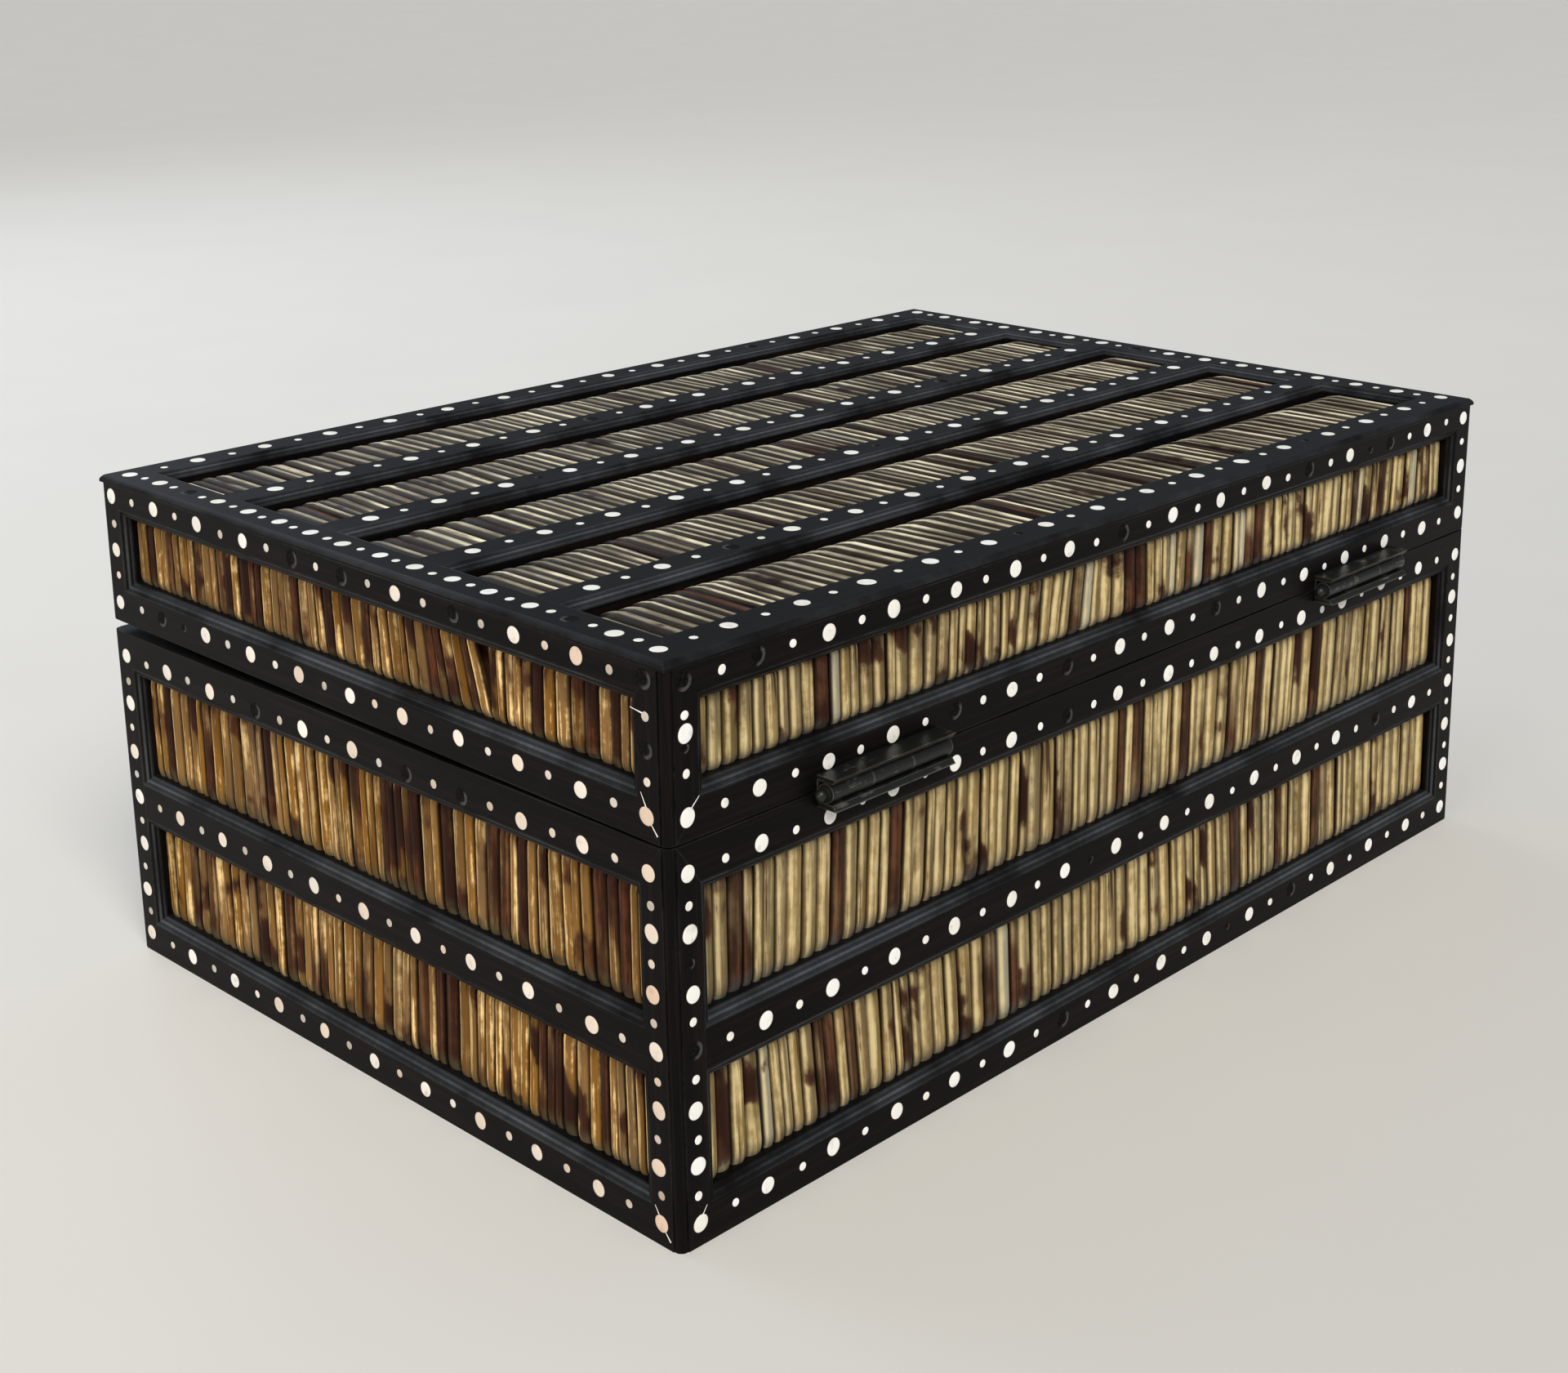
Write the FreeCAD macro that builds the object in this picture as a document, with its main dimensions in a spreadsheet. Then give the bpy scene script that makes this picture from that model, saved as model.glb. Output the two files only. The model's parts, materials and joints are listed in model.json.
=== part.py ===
import FreeCAD, Part
import math
import os
import random
from types import SimpleNamespace

import Sketcher
from FreeCAD import Vector

# A keepsake box clad in rows of porcupine quills behind moulded, mitred frames, with a lid on
# two stop hinges. Millimetres, +Z up. X runs along the box, +Y is the hinge side, and the origin
# is the middle of the underside.

SIZES = [
    ("box_length", 305, "outside, along X"),
    ("box_depth", 208, "outside, along Y"),
    ("box_height", 125, "underside to the top of the lid, lid shut"),
    ("seam_share", 0.7, "height of the seam, as a share of the box's height"),
    ("seam_gap", 0.4, "between base and lid at the hinge side"),
    ("lid_rest_angle", 0.7, "the hinges bind, so the lid rests this far open"),
    ("frame_thickness", 7.6, "of the rails and stiles on the sides"),
    ("mould_width", 2.5, "of the moulding round a side panel"),
    ("mould_depth", 2.0, "where its round ends"),
    ("mould_drop", 0.1, "where its round starts, below the flat"),
    ("mould_radius", 4.0, "of its round"),
    ("quirk_width", 0.5, "V groove between flat and round"),
    ("quirk_depth", 0.5, "of that groove"),
    ("stile_flat", 6.0, "inlaid flat of a stile"),
    ("base_top_flat", 8.8, "inlaid flat of the rail under the seam"),
    ("base_middle_flat", 9.0, "inlaid flat of the middle rail"),
    ("base_middle_share", 0.486, "height of its middle, as a share of the seam's height"),
    ("base_bottom_flat", 8.3, "inlaid flat of the lowest rail"),
    ("lid_top_flat", 5.7, "inlaid flat under the lip of the top frame"),
    ("lid_bottom_flat", 8.3, "inlaid flat over the seam"),
    ("bead_width", 2.2, "corner bead, square"),
    ("bead_set_back", 0.25, "from the faces of the frames"),
    ("bead_edge", 1.2, "width of its rounded outer corner, along each face"),
    ("top_frame_thickness", 6.2, "of the rails and bars on the lid"),
    ("lip_thickness", 1.8, "edge of the top frame that covers the side frames"),
    ("lip_edge", 1.2, "width of its rounded corner, along each face"),
    ("edge_radius", 2.4, "of the rounded corners of bead and lip"),
    ("top_front_flat", 9.6, "inlaid flat, edge included"),
    ("top_back_flat", 11.6, "inlaid flat, edge included"),
    ("top_end_flat", 10.2, "inlaid flat, edge included"),
    ("bar_flat", 7.8, "inlaid flat of a bar"),
    ("bar_count", 4, "bars between the strips of quills on the lid"),
    ("top_mould_width", 2.0, "of the moulding round a strip on the lid"),
    ("quill_recess", 2.8, "crown of a quill behind the side frames"),
    ("top_quill_recess", 1.8, "crown of a quill below the top frame"),
    ("quill_relief", 1.3, "valley to crown"),
    ("quill_fit", 0.15, "between the quills and the mouldings"),
    ("quill_facets", 2, "flats that stand for one rounded quill"),
    ("lid_long_pitch", 3.7, "mean width of a quill, lid, front and back"),
    ("lid_end_pitch", 3.5, "lid, ends"),
    ("base_long_pitch", 3.95, "base, front and back"),
    ("base_end_pitch", 3.7, "base, ends"),
    ("top_outer_pitch", 4.1, "first and last strip on the lid"),
    ("top_inner_pitch", 3.7, "strips between them"),
    ("carcass_thickness", 4.4, "upright boards"),
    ("bottom_thickness", 5.0, "bottom board"),
    ("lid_board_thickness", 4.0, "board under the top frame"),
    ("hinge_length", 37.0, "a 1.5 inch hinge"),
    ("hinge_inset", 59.5, "end of the box to the middle of a hinge"),
    ("hinge_axis_out", 2.4, "axis behind the back face"),
    ("knuckle_radius", 2.1, "outside of the barrel"),
    ("knuckle_gap", 0.15, "between knuckles"),
    ("pin_radius", 1.0, "hinge pin"),
    ("pin_running_fit", 0.05, "round the pin, in the lid knuckle"),
    ("pin_seat_fit", 0.02, "round the pin, in the base knuckles"),
    ("pin_end", 1.0, "pin past the barrel"),
    ("leaf_thickness", 1.2, "hinge leaves and their lips"),
    ("leaf_reach", 6.6, "leaf into the wood"),
    ("leaf_gap", 0.1, "between the shut leaves"),
    ("leaf_fit", 0.1, "between leaf and wood"),
    ("barrel_clearance", 0.2, "barrel to the lips round it"),
    ("stop_angle", 101, "opening at which the lips would meet"),
    ("cut_over", 1.0, "how far a cutting outline runs past the wood"),
]

doc = FreeCAD.newDocument("QuillBox")
sheet = doc.addObject("Spreadsheet::Sheet", "Sizes")


class Size:
    """A length with the spreadsheet expression that gives it."""

    def __init__(self, text, value):
        self.text, self.value = text, value

    def join(self, sign, other, swap=False):
        if not isinstance(other, Size):
            other = Size(repr(other), other)
        left, right = (other, self) if swap else (self, other)
        work = {
            "+": lambda p, q: p + q,
            "-": lambda p, q: p - q,
            "*": lambda p, q: p * q,
            "/": lambda p, q: p / q,
        }[sign]
        return Size("(%s %s %s)" % (left.text, sign, right.text), work(left.value, right.value))

    def __add__(self, other):
        return self.join("+", other)

    def __radd__(self, other):
        return self.join("+", other, True)

    def __sub__(self, other):
        return self.join("-", other)

    def __rsub__(self, other):
        return self.join("-", other, True)

    def __mul__(self, other):
        return self.join("*", other)

    def __rmul__(self, other):
        return self.join("*", other, True)

    def __truediv__(self, other):
        return self.join("/", other)

    def __neg__(self):
        return self.join("*", -1)


def tangent(angle):
    return Size("tan(%s * 1deg)" % angle.text, math.tan(math.radians(angle.value)))


def as_size(number):
    return number if isinstance(number, Size) else Size(repr(number), number)


# Spreadsheet

for row, (alias, value, note) in enumerate(SIZES, start=1):
    sheet.set("A%d" % row, alias)
    sheet.set("B%d" % row, str(value))
    sheet.set("C%d" % row, note)
    sheet.setAlias("B%d" % row, alias)
doc.recompute()
dim = SimpleNamespace(**{alias: Size("Sizes." + alias, value) for alias, value, note in SIZES})


# Drawing and shaping

def draw(sketch, corners):
    """Draw a closed outline, clockwise. A third number makes the next edge a convex round."""
    spots = [(as_size(c[0]), as_size(c[1]), c[2] if len(c) > 2 else None) for c in corners]
    edges, first = [], len(sketch.Geometry)
    for number, (x, y, radius) in enumerate(spots):
        nx, ny = spots[(number + 1) % len(spots)][:2]
        p, q = Vector(x.value, y.value, 0), Vector(nx.value, ny.value, 0)
        if radius is None:
            sketch.addGeometry(Part.LineSegment(p, q), False)
            edges.append((first + number, 1, 2))
            continue
        along = q - p
        right = Vector(along.y, -along.x, 0).normalize()
        rise = math.sqrt(radius.value ** 2 - (along.Length / 2) ** 2)
        centre = (p + q) / 2 + right * rise
        start, end = [math.atan2(v.y, v.x) for v in (q - centre, p - centre)]
        circle = Part.Circle(centre, Vector(0, 0, 1), radius.value)
        sketch.addGeometry(Part.ArcOfCircle(circle, start, end), False)
        edges.append((first + number, 2, 1))
    for number, (edge, start, end) in enumerate(edges):
        after, after_start = edges[(number + 1) % len(edges)][:2]
        sketch.addConstraint(Sketcher.Constraint("Coincident", edge, end, after, after_start))
        x, y, radius = spots[number]
        for kind, spot in (("DistanceX", x), ("DistanceY", y)):
            bind(sketch, Sketcher.Constraint(kind, -1, 1, edge, start, spot.value), spot)
        if radius is not None:
            bind(sketch, Sketcher.Constraint("Radius", edge, radius.value), radius)


def bind(sketch, constraint, size):
    index = sketch.addConstraint(constraint)
    sketch.setExpression("Constraints[%d]" % index, size.text)


def draw_circle(sketch, x, y, radius):
    edge = len(sketch.Geometry)
    x, y = as_size(x), as_size(y)
    sketch.addGeometry(Part.Circle(Vector(x.value, y.value, 0), Vector(0, 0, 1), radius.value), False)
    bind(sketch, Sketcher.Constraint("DistanceX", -1, 1, edge, 3, x.value), x)
    bind(sketch, Sketcher.Constraint("DistanceY", -1, 1, edge, 3, y.value), y)
    bind(sketch, Sketcher.Constraint("Radius", edge, radius.value), radius)


def new_sketch(body, role):
    sketch = body.newObject("Sketcher::SketchObject", body.Name + "_sketch")
    plane = next(f for f in body.Origin.OriginFeatures if f.Role == role)
    sketch.AttachmentSupport = [(plane, "")]
    sketch.MapMode = "FlatFace"
    return sketch


def sketch_outlines(body, role, *outlines):
    sketch = new_sketch(body, role)
    for corners in outlines:
        draw(sketch, corners)
    return sketch


def pad(body, sketch, length):
    """Add the sketch's outline, half of the length to each side of its plane."""
    feature = body.newObject("PartDesign::Pad", body.Name + "_pad")
    feature.Profile = sketch
    feature.SideType = "Symmetric"
    feature.setExpression("Length", length.text)
    return feature


def pocket(body, sketch, depth=None):
    """Cut the sketch's outline through all, or to a depth on each side of its plane."""
    feature = body.newObject("PartDesign::Pocket", body.Name + "_pocket")
    feature.Profile = sketch
    feature.SideType = "Symmetric"
    if depth is None:
        feature.Type = "ThroughAll"
    else:
        feature.setExpression("Length", (2 * depth).text)
    return feature


def new_body(name):
    return doc.addObject("PartDesign::Body", name)


AXES = {"X": "1; 0; 0", "Y": "0; 1; 0", "Z": "0; 0; 1"}


def pose(x=0, y=0, z=0, turns=()):
    """The expression of a placement: a move, then turns about the piece's own axes."""
    where = "; ".join(as_size(v).text for v in (x, y, z))
    steps = ["create(<<placement>>; create(<<vector>>; %s); create(<<rotation>>; "
             "create(<<vector>>; 0; 0; 1); 0))" % where]
    for axis, angle in turns:
        steps.append("create(<<placement>>; create(<<vector>>; 0; 0; 0); create(<<rotation>>; "
                     "create(<<vector>>; %s); %s))" % (AXES[axis], as_size(angle).text))
    return " * ".join(steps)


def place(piece, *where, **turns):
    piece.setExpression("Placement", pose(*where, **turns))
    return piece


def board(name, size, corner):
    box = doc.addObject("Part::Box", name)
    for side, length in zip(("Length", "Width", "Height"), size):
        box.setExpression(side, length.text)
    return place(box, *corner)


def mirrored(piece, axis):
    """The piece's mirror image on the other side of the box."""
    image = doc.addObject("Part::Mirroring", piece.Name + "_mirrored")
    image.Source = piece
    image.Normal = Vector(*[1.0 if letter == axis else 0.0 for letter in "XYZ"])
    return image


half_length, half_depth = dim.box_length / 2, dim.box_depth / 2
seam_height = dim.box_height * dim.seam_share
base_top = seam_height - dim.seam_gap / 2
lid_bottom = seam_height + dim.seam_gap / 2
frame_top = dim.box_height - dim.lip_thickness
base_middle_height = seam_height * dim.base_middle_share
board_top = dim.box_height - dim.top_frame_thickness
hinge_x = half_length - dim.hinge_inset
hinge_y = half_depth + dim.hinge_axis_out
lid_pose = pose(0, hinge_y, seam_height, turns=[("X", -dim.lid_rest_angle)]) + " * " + \
    pose(0, -hinge_y, -seam_height)

nodes = []


def node(label, pieces, on_lid=False):
    """Gather the pieces of one sub-part. Those of the lid are made shut, and turned here."""
    group = doc.addObject("Part::Compound", label)
    group.Links = pieces
    if on_lid:
        group.setExpression("Placement", lid_pose)
    else:
        place(group)
    nodes.append(group)
    return group


# Frames
# A piece of frame lies along its own X, with Y into the wood and Z across it. Z starts at the
# outer edge of a rail or stile, and in the middle of a middle rail or bar.

def moulding(edge, width, thickness):
    """From the flat's edge down the groove and the round to the back of the wood."""
    groove = edge + dim.quirk_width
    return [
        (0, edge),
        (dim.quirk_depth, edge + dim.quirk_width / 2),
        (dim.mould_drop, groove, dim.mould_radius),
        (dim.mould_depth, edge + width),
        (thickness, edge + width),
    ]


def mirrored_outline(corners):
    """The same outline below Z = 0. A round now starts at its other end."""
    flipped = [(c[0], -c[1]) for c in reversed(corners)]
    for number, corner in enumerate(corners):
        if len(corner) > 2:
            start = len(corners) - 2 - number
            flipped[start] = flipped[start] + (corner[2],)
    return flipped


def mitre(end, reach, flat, width):
    """What is cut off a rail's end beyond its joint with a neighbour whose flat is reach wide."""
    side = 1 if end.value > 0 else -1
    far, over = end + side * dim.cut_over, flat + width + dim.cut_over
    return [
        (end, 0),
        (end - side * reach, flat),
        (end - side * (reach + width), flat + width),
        (end - side * (reach + width), over),
        (far, over),
        (far, 0),
    ]


def scribe(end, edge, width, up):
    """What is cut off a middle rail's end so that its moulding mitres into the stile's."""
    side = 1 if end.value > 0 else -1
    far, over = end + side * dim.cut_over, edge + width + dim.cut_over
    return [
        (end, up * edge),
        (end - side * width, up * (edge + width)),
        (end - side * width, up * over),
        (far, up * over),
        (far, up * edge),
    ]


def notch(centre, half, flat, width):
    """What is cut from a stile's moulding to let a middle rail reach the flat."""
    over = flat + width + dim.cut_over
    return [
        (centre - half, flat),
        (centre - half - width, flat + width),
        (centre - half - width, over),
        (centre + half + width, over),
        (centre + half + width, flat + width),
        (centre + half, flat),
    ]


def corner_cut(end):
    """Behind the corner bead, a rail's end slopes back to meet the frame round the corner."""
    side = 1 if end.value > 0 else -1
    depth = dim.frame_thickness - dim.bead_width + dim.cut_over
    back = dim.frame_thickness + dim.cut_over
    far = end + side * dim.cut_over
    return [(end, dim.bead_width), (end - side * depth, back), (far, back), (far, dim.bead_width)]


def side_rail(name, face_length, flat):
    """A top or bottom rail of a side frame, mitred to its stiles."""
    body = new_body(name)
    span = face_length - 2 * dim.bead_width
    thickness, end = dim.frame_thickness, span / 2
    outline = [(0, 0)] + moulding(flat, dim.mould_width, thickness) + [(thickness, 0)]
    pad(body, sketch_outlines(body, "YZ_Plane", outline), span)
    ends = [mitre(e, dim.stile_flat, flat, dim.mould_width) for e in (end, -end)]
    pocket(body, sketch_outlines(body, "XZ_Plane", *ends))
    pocket(body, sketch_outlines(body, "XY_Plane", *[corner_cut(e) for e in (end, -end)]))
    return body


def middle_rail(name, span, flat, width, thickness):
    """A rail or bar with a moulding on both edges, let into its neighbours' mouldings."""
    body = new_body(name)
    upper = moulding(flat / 2, width, thickness)
    pad(body, sketch_outlines(body, "YZ_Plane", upper + mirrored_outline(upper)), span)
    ends = [scribe(e, flat / 2, width, up) for e in (span / 2, -span / 2) for up in (1, -1)]
    pocket(body, sketch_outlines(body, "XZ_Plane", *ends))
    return body


def stile(name, height, upper_flat, lower_flat, notches=()):
    """An upright of a side frame. Its own +X end is the lower one."""
    body = new_body(name)
    flat, width, thickness = dim.stile_flat, dim.mould_width, dim.frame_thickness
    slope = [(thickness, thickness - dim.bead_width), (dim.bead_width, 0)]
    pad(body, sketch_outlines(body, "YZ_Plane", [(0, 0)] + moulding(flat, width, thickness) + slope), height)
    cuts = [mitre(height / 2, lower_flat, flat, width), mitre(-height / 2, upper_flat, flat, width)]
    cuts += [notch(centre, half, flat, width) for centre, half in notches]
    pocket(body, sketch_outlines(body, "XZ_Plane", *cuts))
    return body


def on_face(piece, face, across, inward, height, turns=()):
    """Put a piece on the front or the right-hand end, which the others mirror."""
    if face == "front":
        return place(piece, across, inward - half_depth, height, turns=turns)
    if face == "back":
        return place(piece, -across, half_depth - inward, height, turns=[("Z", 180)] + list(turns))
    return place(piece, half_length - inward, across, height, turns=[("Z", 90)] + list(turns))


def both_ways(piece):
    """The piece and its three mirror images at the other corners of the box."""
    sideways = mirrored(piece, "X")
    return [piece, sideways, mirrored(piece, "Y"), mirrored(sideways, "Y")]


upside_down = [("Y", 180)]
zero = as_size(0)
FACES = (("front", "back", "Y", dim.box_length, "long"), ("right", "left", "X", dim.box_depth, "end"))


def hinge_seats(body):
    """Recesses along the seam for the leaves, and deeper ones for their lips."""
    half = dim.hinge_length / 2 + dim.leaf_fit
    depth = dim.leaf_thickness + (dim.leaf_gap - dim.seam_gap) / 2 + dim.leaf_fit
    lip_in = dim.leaf_thickness + dim.barrel_clearance + dim.knuckle_radius - dim.hinge_axis_out
    lip_down = dim.knuckle_radius + dim.barrel_clearance + dim.leaf_thickness - dim.seam_gap / 2
    for reach, down in ((dim.leaf_reach, depth), (lip_in, lip_down + dim.leaf_fit)):
        inner = reach + dim.leaf_fit
        seats = [
            [
                (side * hinge_x - half, -dim.cut_over),
                (side * hinge_x - half, inner),
                (side * hinge_x + half, inner),
                (side * hinge_x + half, -dim.cut_over),
            ]
            for side in (1, -1)
        ]
        pocket(body, sketch_outlines(body, "XY_Plane", *seats), down)


def side_frames(part, low, high, upper_flat, lower_flat, middle, on_lid):
    """Rails, stiles and beads of the base or the lid, on all four faces."""
    height, centre = high - low, (high + low) / 2
    seam_rail = "bottom" if on_lid else "top"
    for face, other, axis, length, kind in FACES:
        rails = [("top", high, upper_flat, upside_down), ("bottom", low, lower_flat, [])]
        for rail, level, flat, turns in rails:
            name = "%s_%s_%s_rail" % (part, face, rail)
            piece = on_face(side_rail(name + "_wood", length, flat), face, zero, zero, level, turns)
            node(name, [piece], on_lid)
            name = "%s_%s_%s_rail" % (part, other, rail)
            if other == "back" and rail == seam_rail:
                opposite = side_rail(name + "_wood", length, flat)
                hinge_seats(opposite)
                on_face(opposite, other, zero, zero, level, turns)
            else:
                opposite = mirrored(piece, axis)
            node(name, [opposite], on_lid)
        notches = []
        if middle:
            level, flat = middle
            notches = [(centre - level, flat / 2)]
            name = "%s_%s_middle_rail" % (part, face)
            span = length - 2 * (dim.bead_width + dim.stile_flat)
            piece = middle_rail(name + "_wood", span, flat, dim.mould_width, dim.frame_thickness)
            node(name, [on_face(piece, face, zero, zero, level)], on_lid)
            node("%s_%s_middle_rail" % (part, other), [mirrored(piece, axis)], on_lid)
        name = "%s_%s_stiles" % (part, kind)
        piece = stile(name + "_wood", height, upper_flat, lower_flat, notches)
        on_face(piece, face, dim.bead_width - length / 2, zero, centre, [("Y", 90)])
        node(name, both_ways(piece), on_lid)
    node(part + "_corner_beads", both_ways(corner_bead(part, low, height)), on_lid)


def corner_bead(part, low, height):
    """The thin upright between the frames of two faces, with its outer corner rounded."""
    body = new_body(part + "_bead_wood")
    inner, outer = -dim.bead_width, -dim.bead_set_back
    outline = [
        (inner, inner),
        (inner, outer),
        (outer - dim.bead_edge, outer, dim.edge_radius),
        (outer, outer - dim.bead_edge),
        (outer, inner),
    ]
    pad(body, sketch_outlines(body, "XY_Plane", outline), height)
    return place(body, half_length, half_depth, low + height / 2)


side_frames("base", zero, base_top, dim.base_top_flat, dim.base_bottom_flat,
            (base_middle_height, dim.base_middle_flat), False)
side_frames("lid", lid_bottom, frame_top, dim.lid_top_flat, dim.lid_bottom_flat, None, True)


# Top frame of the lid, with its Y downwards and Z inwards from the outer edge

def top_outline(flat):
    thickness, inside = dim.top_frame_thickness, dim.frame_thickness
    edge = [(dim.lip_thickness, 0), (dim.lip_edge, 0, dim.edge_radius), (0, dim.lip_edge)]
    rebate = [(thickness, inside), (dim.lip_thickness, inside)]
    return edge + moulding(flat, dim.top_mould_width, thickness) + rebate


def rebate_return(end):
    """Round the corner the side frames again reach up to the lip."""
    side = 1 if end.value > 0 else -1
    inside, outside = end - side * dim.frame_thickness, end + side * dim.cut_over
    below = dim.top_frame_thickness + dim.cut_over
    return [(inside, dim.lip_thickness), (inside, below), (outside, below), (outside, dim.lip_thickness)]


def top_rail(name, length, flat, right_flat, left_flat, notches=()):
    body = new_body(name)
    width, end = dim.top_mould_width, length / 2
    pad(body, sketch_outlines(body, "YZ_Plane", top_outline(flat)), length)
    cuts = [mitre(end, right_flat, flat, width), mitre(-end, left_flat, flat, width)]
    cuts += [notch(centre, half, flat, width) for centre, half in notches]
    pocket(body, sketch_outlines(body, "XZ_Plane", *cuts))
    pocket(body, sketch_outlines(body, "XY_Plane", *[rebate_return(e) for e in (end, -end)]))
    return body


bar_width = dim.bar_flat + 2 * dim.top_mould_width
front_edge = dim.top_front_flat + dim.top_mould_width - half_depth
back_edge = half_depth - dim.top_back_flat - dim.top_mould_width
strip_width = (back_edge - front_edge - dim.bar_count * bar_width) / (dim.bar_count + 1)
bars = int(dim.bar_count.value)
bar_centres = [front_edge + (k + 1) * strip_width + (k + 0.5) * bar_width for k in range(bars)]

front = top_rail("top_front_wood", dim.box_length, dim.top_front_flat, dim.top_end_flat, dim.top_end_flat)
node("lid_top_front_rail", [place(front, 0, -half_depth, dim.box_height, turns=[("X", -90)])], True)
back = top_rail("top_back_wood", dim.box_length, dim.top_back_flat, dim.top_end_flat, dim.top_end_flat)
place(back, 0, half_depth, dim.box_height, turns=[("Z", 180), ("X", -90)])
node("lid_top_back_rail", [back], True)
right = top_rail("top_end_wood", dim.box_depth, dim.top_end_flat, dim.top_back_flat, dim.top_front_flat,
                 [(centre, dim.bar_flat / 2) for centre in bar_centres])
place(right, half_length, 0, dim.box_height, turns=[("Z", 90), ("X", -90)])
node("lid_top_right_rail", [right], True)
node("lid_top_left_rail", [mirrored(right, "X")], True)

bar_woods = []
for number, centre in enumerate(bar_centres, start=1):
    wood = middle_rail("top_bar_wood_%d" % number, dim.box_length - 2 * dim.top_end_flat, dim.bar_flat,
                       dim.top_mould_width, dim.top_frame_thickness)
    bar_woods.append(place(wood, 0, centre, dim.box_height, turns=[("X", -90)]))
node("lid_top_bars", bar_woods, True)


# Carcass boards inside the frames

inner_length = dim.box_length - 2 * dim.frame_thickness
inner_depth = dim.box_depth - 2 * dim.frame_thickness


def carcass(part, low, high, on_lid):
    """Four upright boards, the front and back ones over the ends of the others."""
    thickness, height = dim.carcass_thickness, high - low
    long_size = (inner_length, thickness, height)
    end_size = (thickness, inner_depth - 2 * thickness, height)
    x, y = -inner_length / 2, -inner_depth / 2
    front_board = board(part + "_front_ply", long_size, (x, y, low))
    left_board = board(part + "_left_ply", end_size, (x, y + thickness, low))
    node(part + "_front_board", [front_board], on_lid)
    node(part + "_back_board", [mirrored(front_board, "Y")], on_lid)
    node(part + "_left_board", [left_board], on_lid)
    node(part + "_right_board", [mirrored(left_board, "X")], on_lid)


bottom = board("bottom_ply", (inner_length, inner_depth, dim.bottom_thickness),
               (-inner_length / 2, -inner_depth / 2, zero))
node("base_bottom_board", [bottom])
carcass("base", dim.bottom_thickness, base_top, False)
roof_low = board_top - dim.lid_board_thickness
roof = board("roof_ply", (inner_length, inner_depth, dim.lid_board_thickness),
             (-inner_length / 2, -inner_depth / 2, roof_low))
node("lid_top_board", [roof], True)
carcass("lid", lid_bottom, roof_low, True)


# Quills

def quill_row(name, length, run, thickness, pitch, seed):
    """Quills side by side along X, crowns at Y = thickness, each as long as run along Z.

    No two are quite as wide or as high. Each shows the part of its round above its neighbours.
    """
    count = max(1, round(length.value / pitch.value))
    facets = int(dim.quill_facets.value)
    dice = random.Random(seed)
    widths = [1 + dice.uniform(-0.17, 0.17) for k in range(count)]
    scale = length.value / sum(widths)
    relief, crown = dim.quill_relief.value, thickness.value
    show = math.radians(70)
    x = -length.value / 2
    corners = [(x, 0), (x, crown - relief)]
    for width in widths:
        width *= scale
        height = relief * dice.uniform(0.86, 1)
        for step in range(1, facets + 1):
            angle = show * (2 * step / facets - 1)
            rise = (math.cos(angle) - math.cos(show)) / (1 - math.cos(show))
            across = width / 2 * (1 + math.sin(angle) / math.sin(show))
            corners.append((x + across, crown - relief + height * rise))
        x += width
    corners.append((length.value / 2, 0))
    points = [Vector(px, py, 0) for px, py in corners]
    face = Part.Face(Part.makePolygon(points + points[:1]))
    row = doc.addObject("Part::Feature", name)
    row.Shape = face.extrude(Vector(0, 0, run.value))
    return row


def side_quills(part, rows, on_lid, pitches):
    """One row in each panel. rows holds the panels' lower and upper edges."""
    thickness = dim.frame_thickness - dim.quill_recess
    around = 2 * (dim.bead_width + dim.stile_flat + dim.mould_width + dim.quill_fit)
    for number, face in enumerate(("front", "back", "right", "left")):
        wide = face in ("front", "back")
        length = (dim.box_length if wide else dim.box_depth) - around
        pieces = []
        for level, (low, high) in enumerate(rows):
            run = high - low - 2 * dim.quill_fit
            name = "%s_%s_row_%d" % (part, face, level + 1)
            seed = 100 * len(rows) + 10 * number + level
            row = quill_row(name, length, run, thickness, pitches[0 if wide else 1], seed)
            back_plane = dim.frame_thickness
            foot = low + dim.quill_fit
            if face == "front":
                place(row, 0, back_plane - half_depth, foot, turns=[("Z", 180)])
            elif face == "back":
                place(row, 0, half_depth - back_plane, foot)
            elif face == "right":
                place(row, half_length - back_plane, 0, foot, turns=[("Z", -90)])
            else:
                place(row, back_plane - half_length, 0, foot, turns=[("Z", 90)])
            pieces.append(row)
        node("%s_%s_quills" % (part, face), pieces, on_lid)


half_middle = dim.base_middle_flat / 2 + dim.mould_width
base_rows = [
    (dim.base_bottom_flat + dim.mould_width, base_middle_height - half_middle),
    (base_middle_height + half_middle, base_top - dim.base_top_flat - dim.mould_width),
]
lid_rows = [(lid_bottom + dim.lid_bottom_flat + dim.mould_width, frame_top - dim.lid_top_flat - dim.mould_width)]
side_quills("base", base_rows, False, (dim.base_long_pitch, dim.base_end_pitch))
side_quills("lid", lid_rows, True, (dim.lid_long_pitch, dim.lid_end_pitch))

strips = []
strip_length = dim.box_length - 2 * (dim.top_end_flat + dim.top_mould_width + dim.quill_fit)
for number in range(bars + 1):
    outer = number in (0, bars)
    strip = quill_row("top_row_%d" % (number + 1), strip_length, strip_width - 2 * dim.quill_fit,
                      dim.top_frame_thickness - dim.top_quill_recess,
                      dim.top_outer_pitch if outer else dim.top_inner_pitch, 500 + number)
    far_edge = front_edge + number * (strip_width + bar_width) + strip_width - dim.quill_fit
    strips.append(place(strip, 0, far_edge, board_top, turns=[("X", 90)]))
node("lid_top_quills", strips, True)


# Stop hinges
# Made about their own axis: X along the pin, Y away from the box. Each leaf lies in the seam,
# turns past the barrel and ends in a lip. The lips meet when the lid is fully open.

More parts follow.
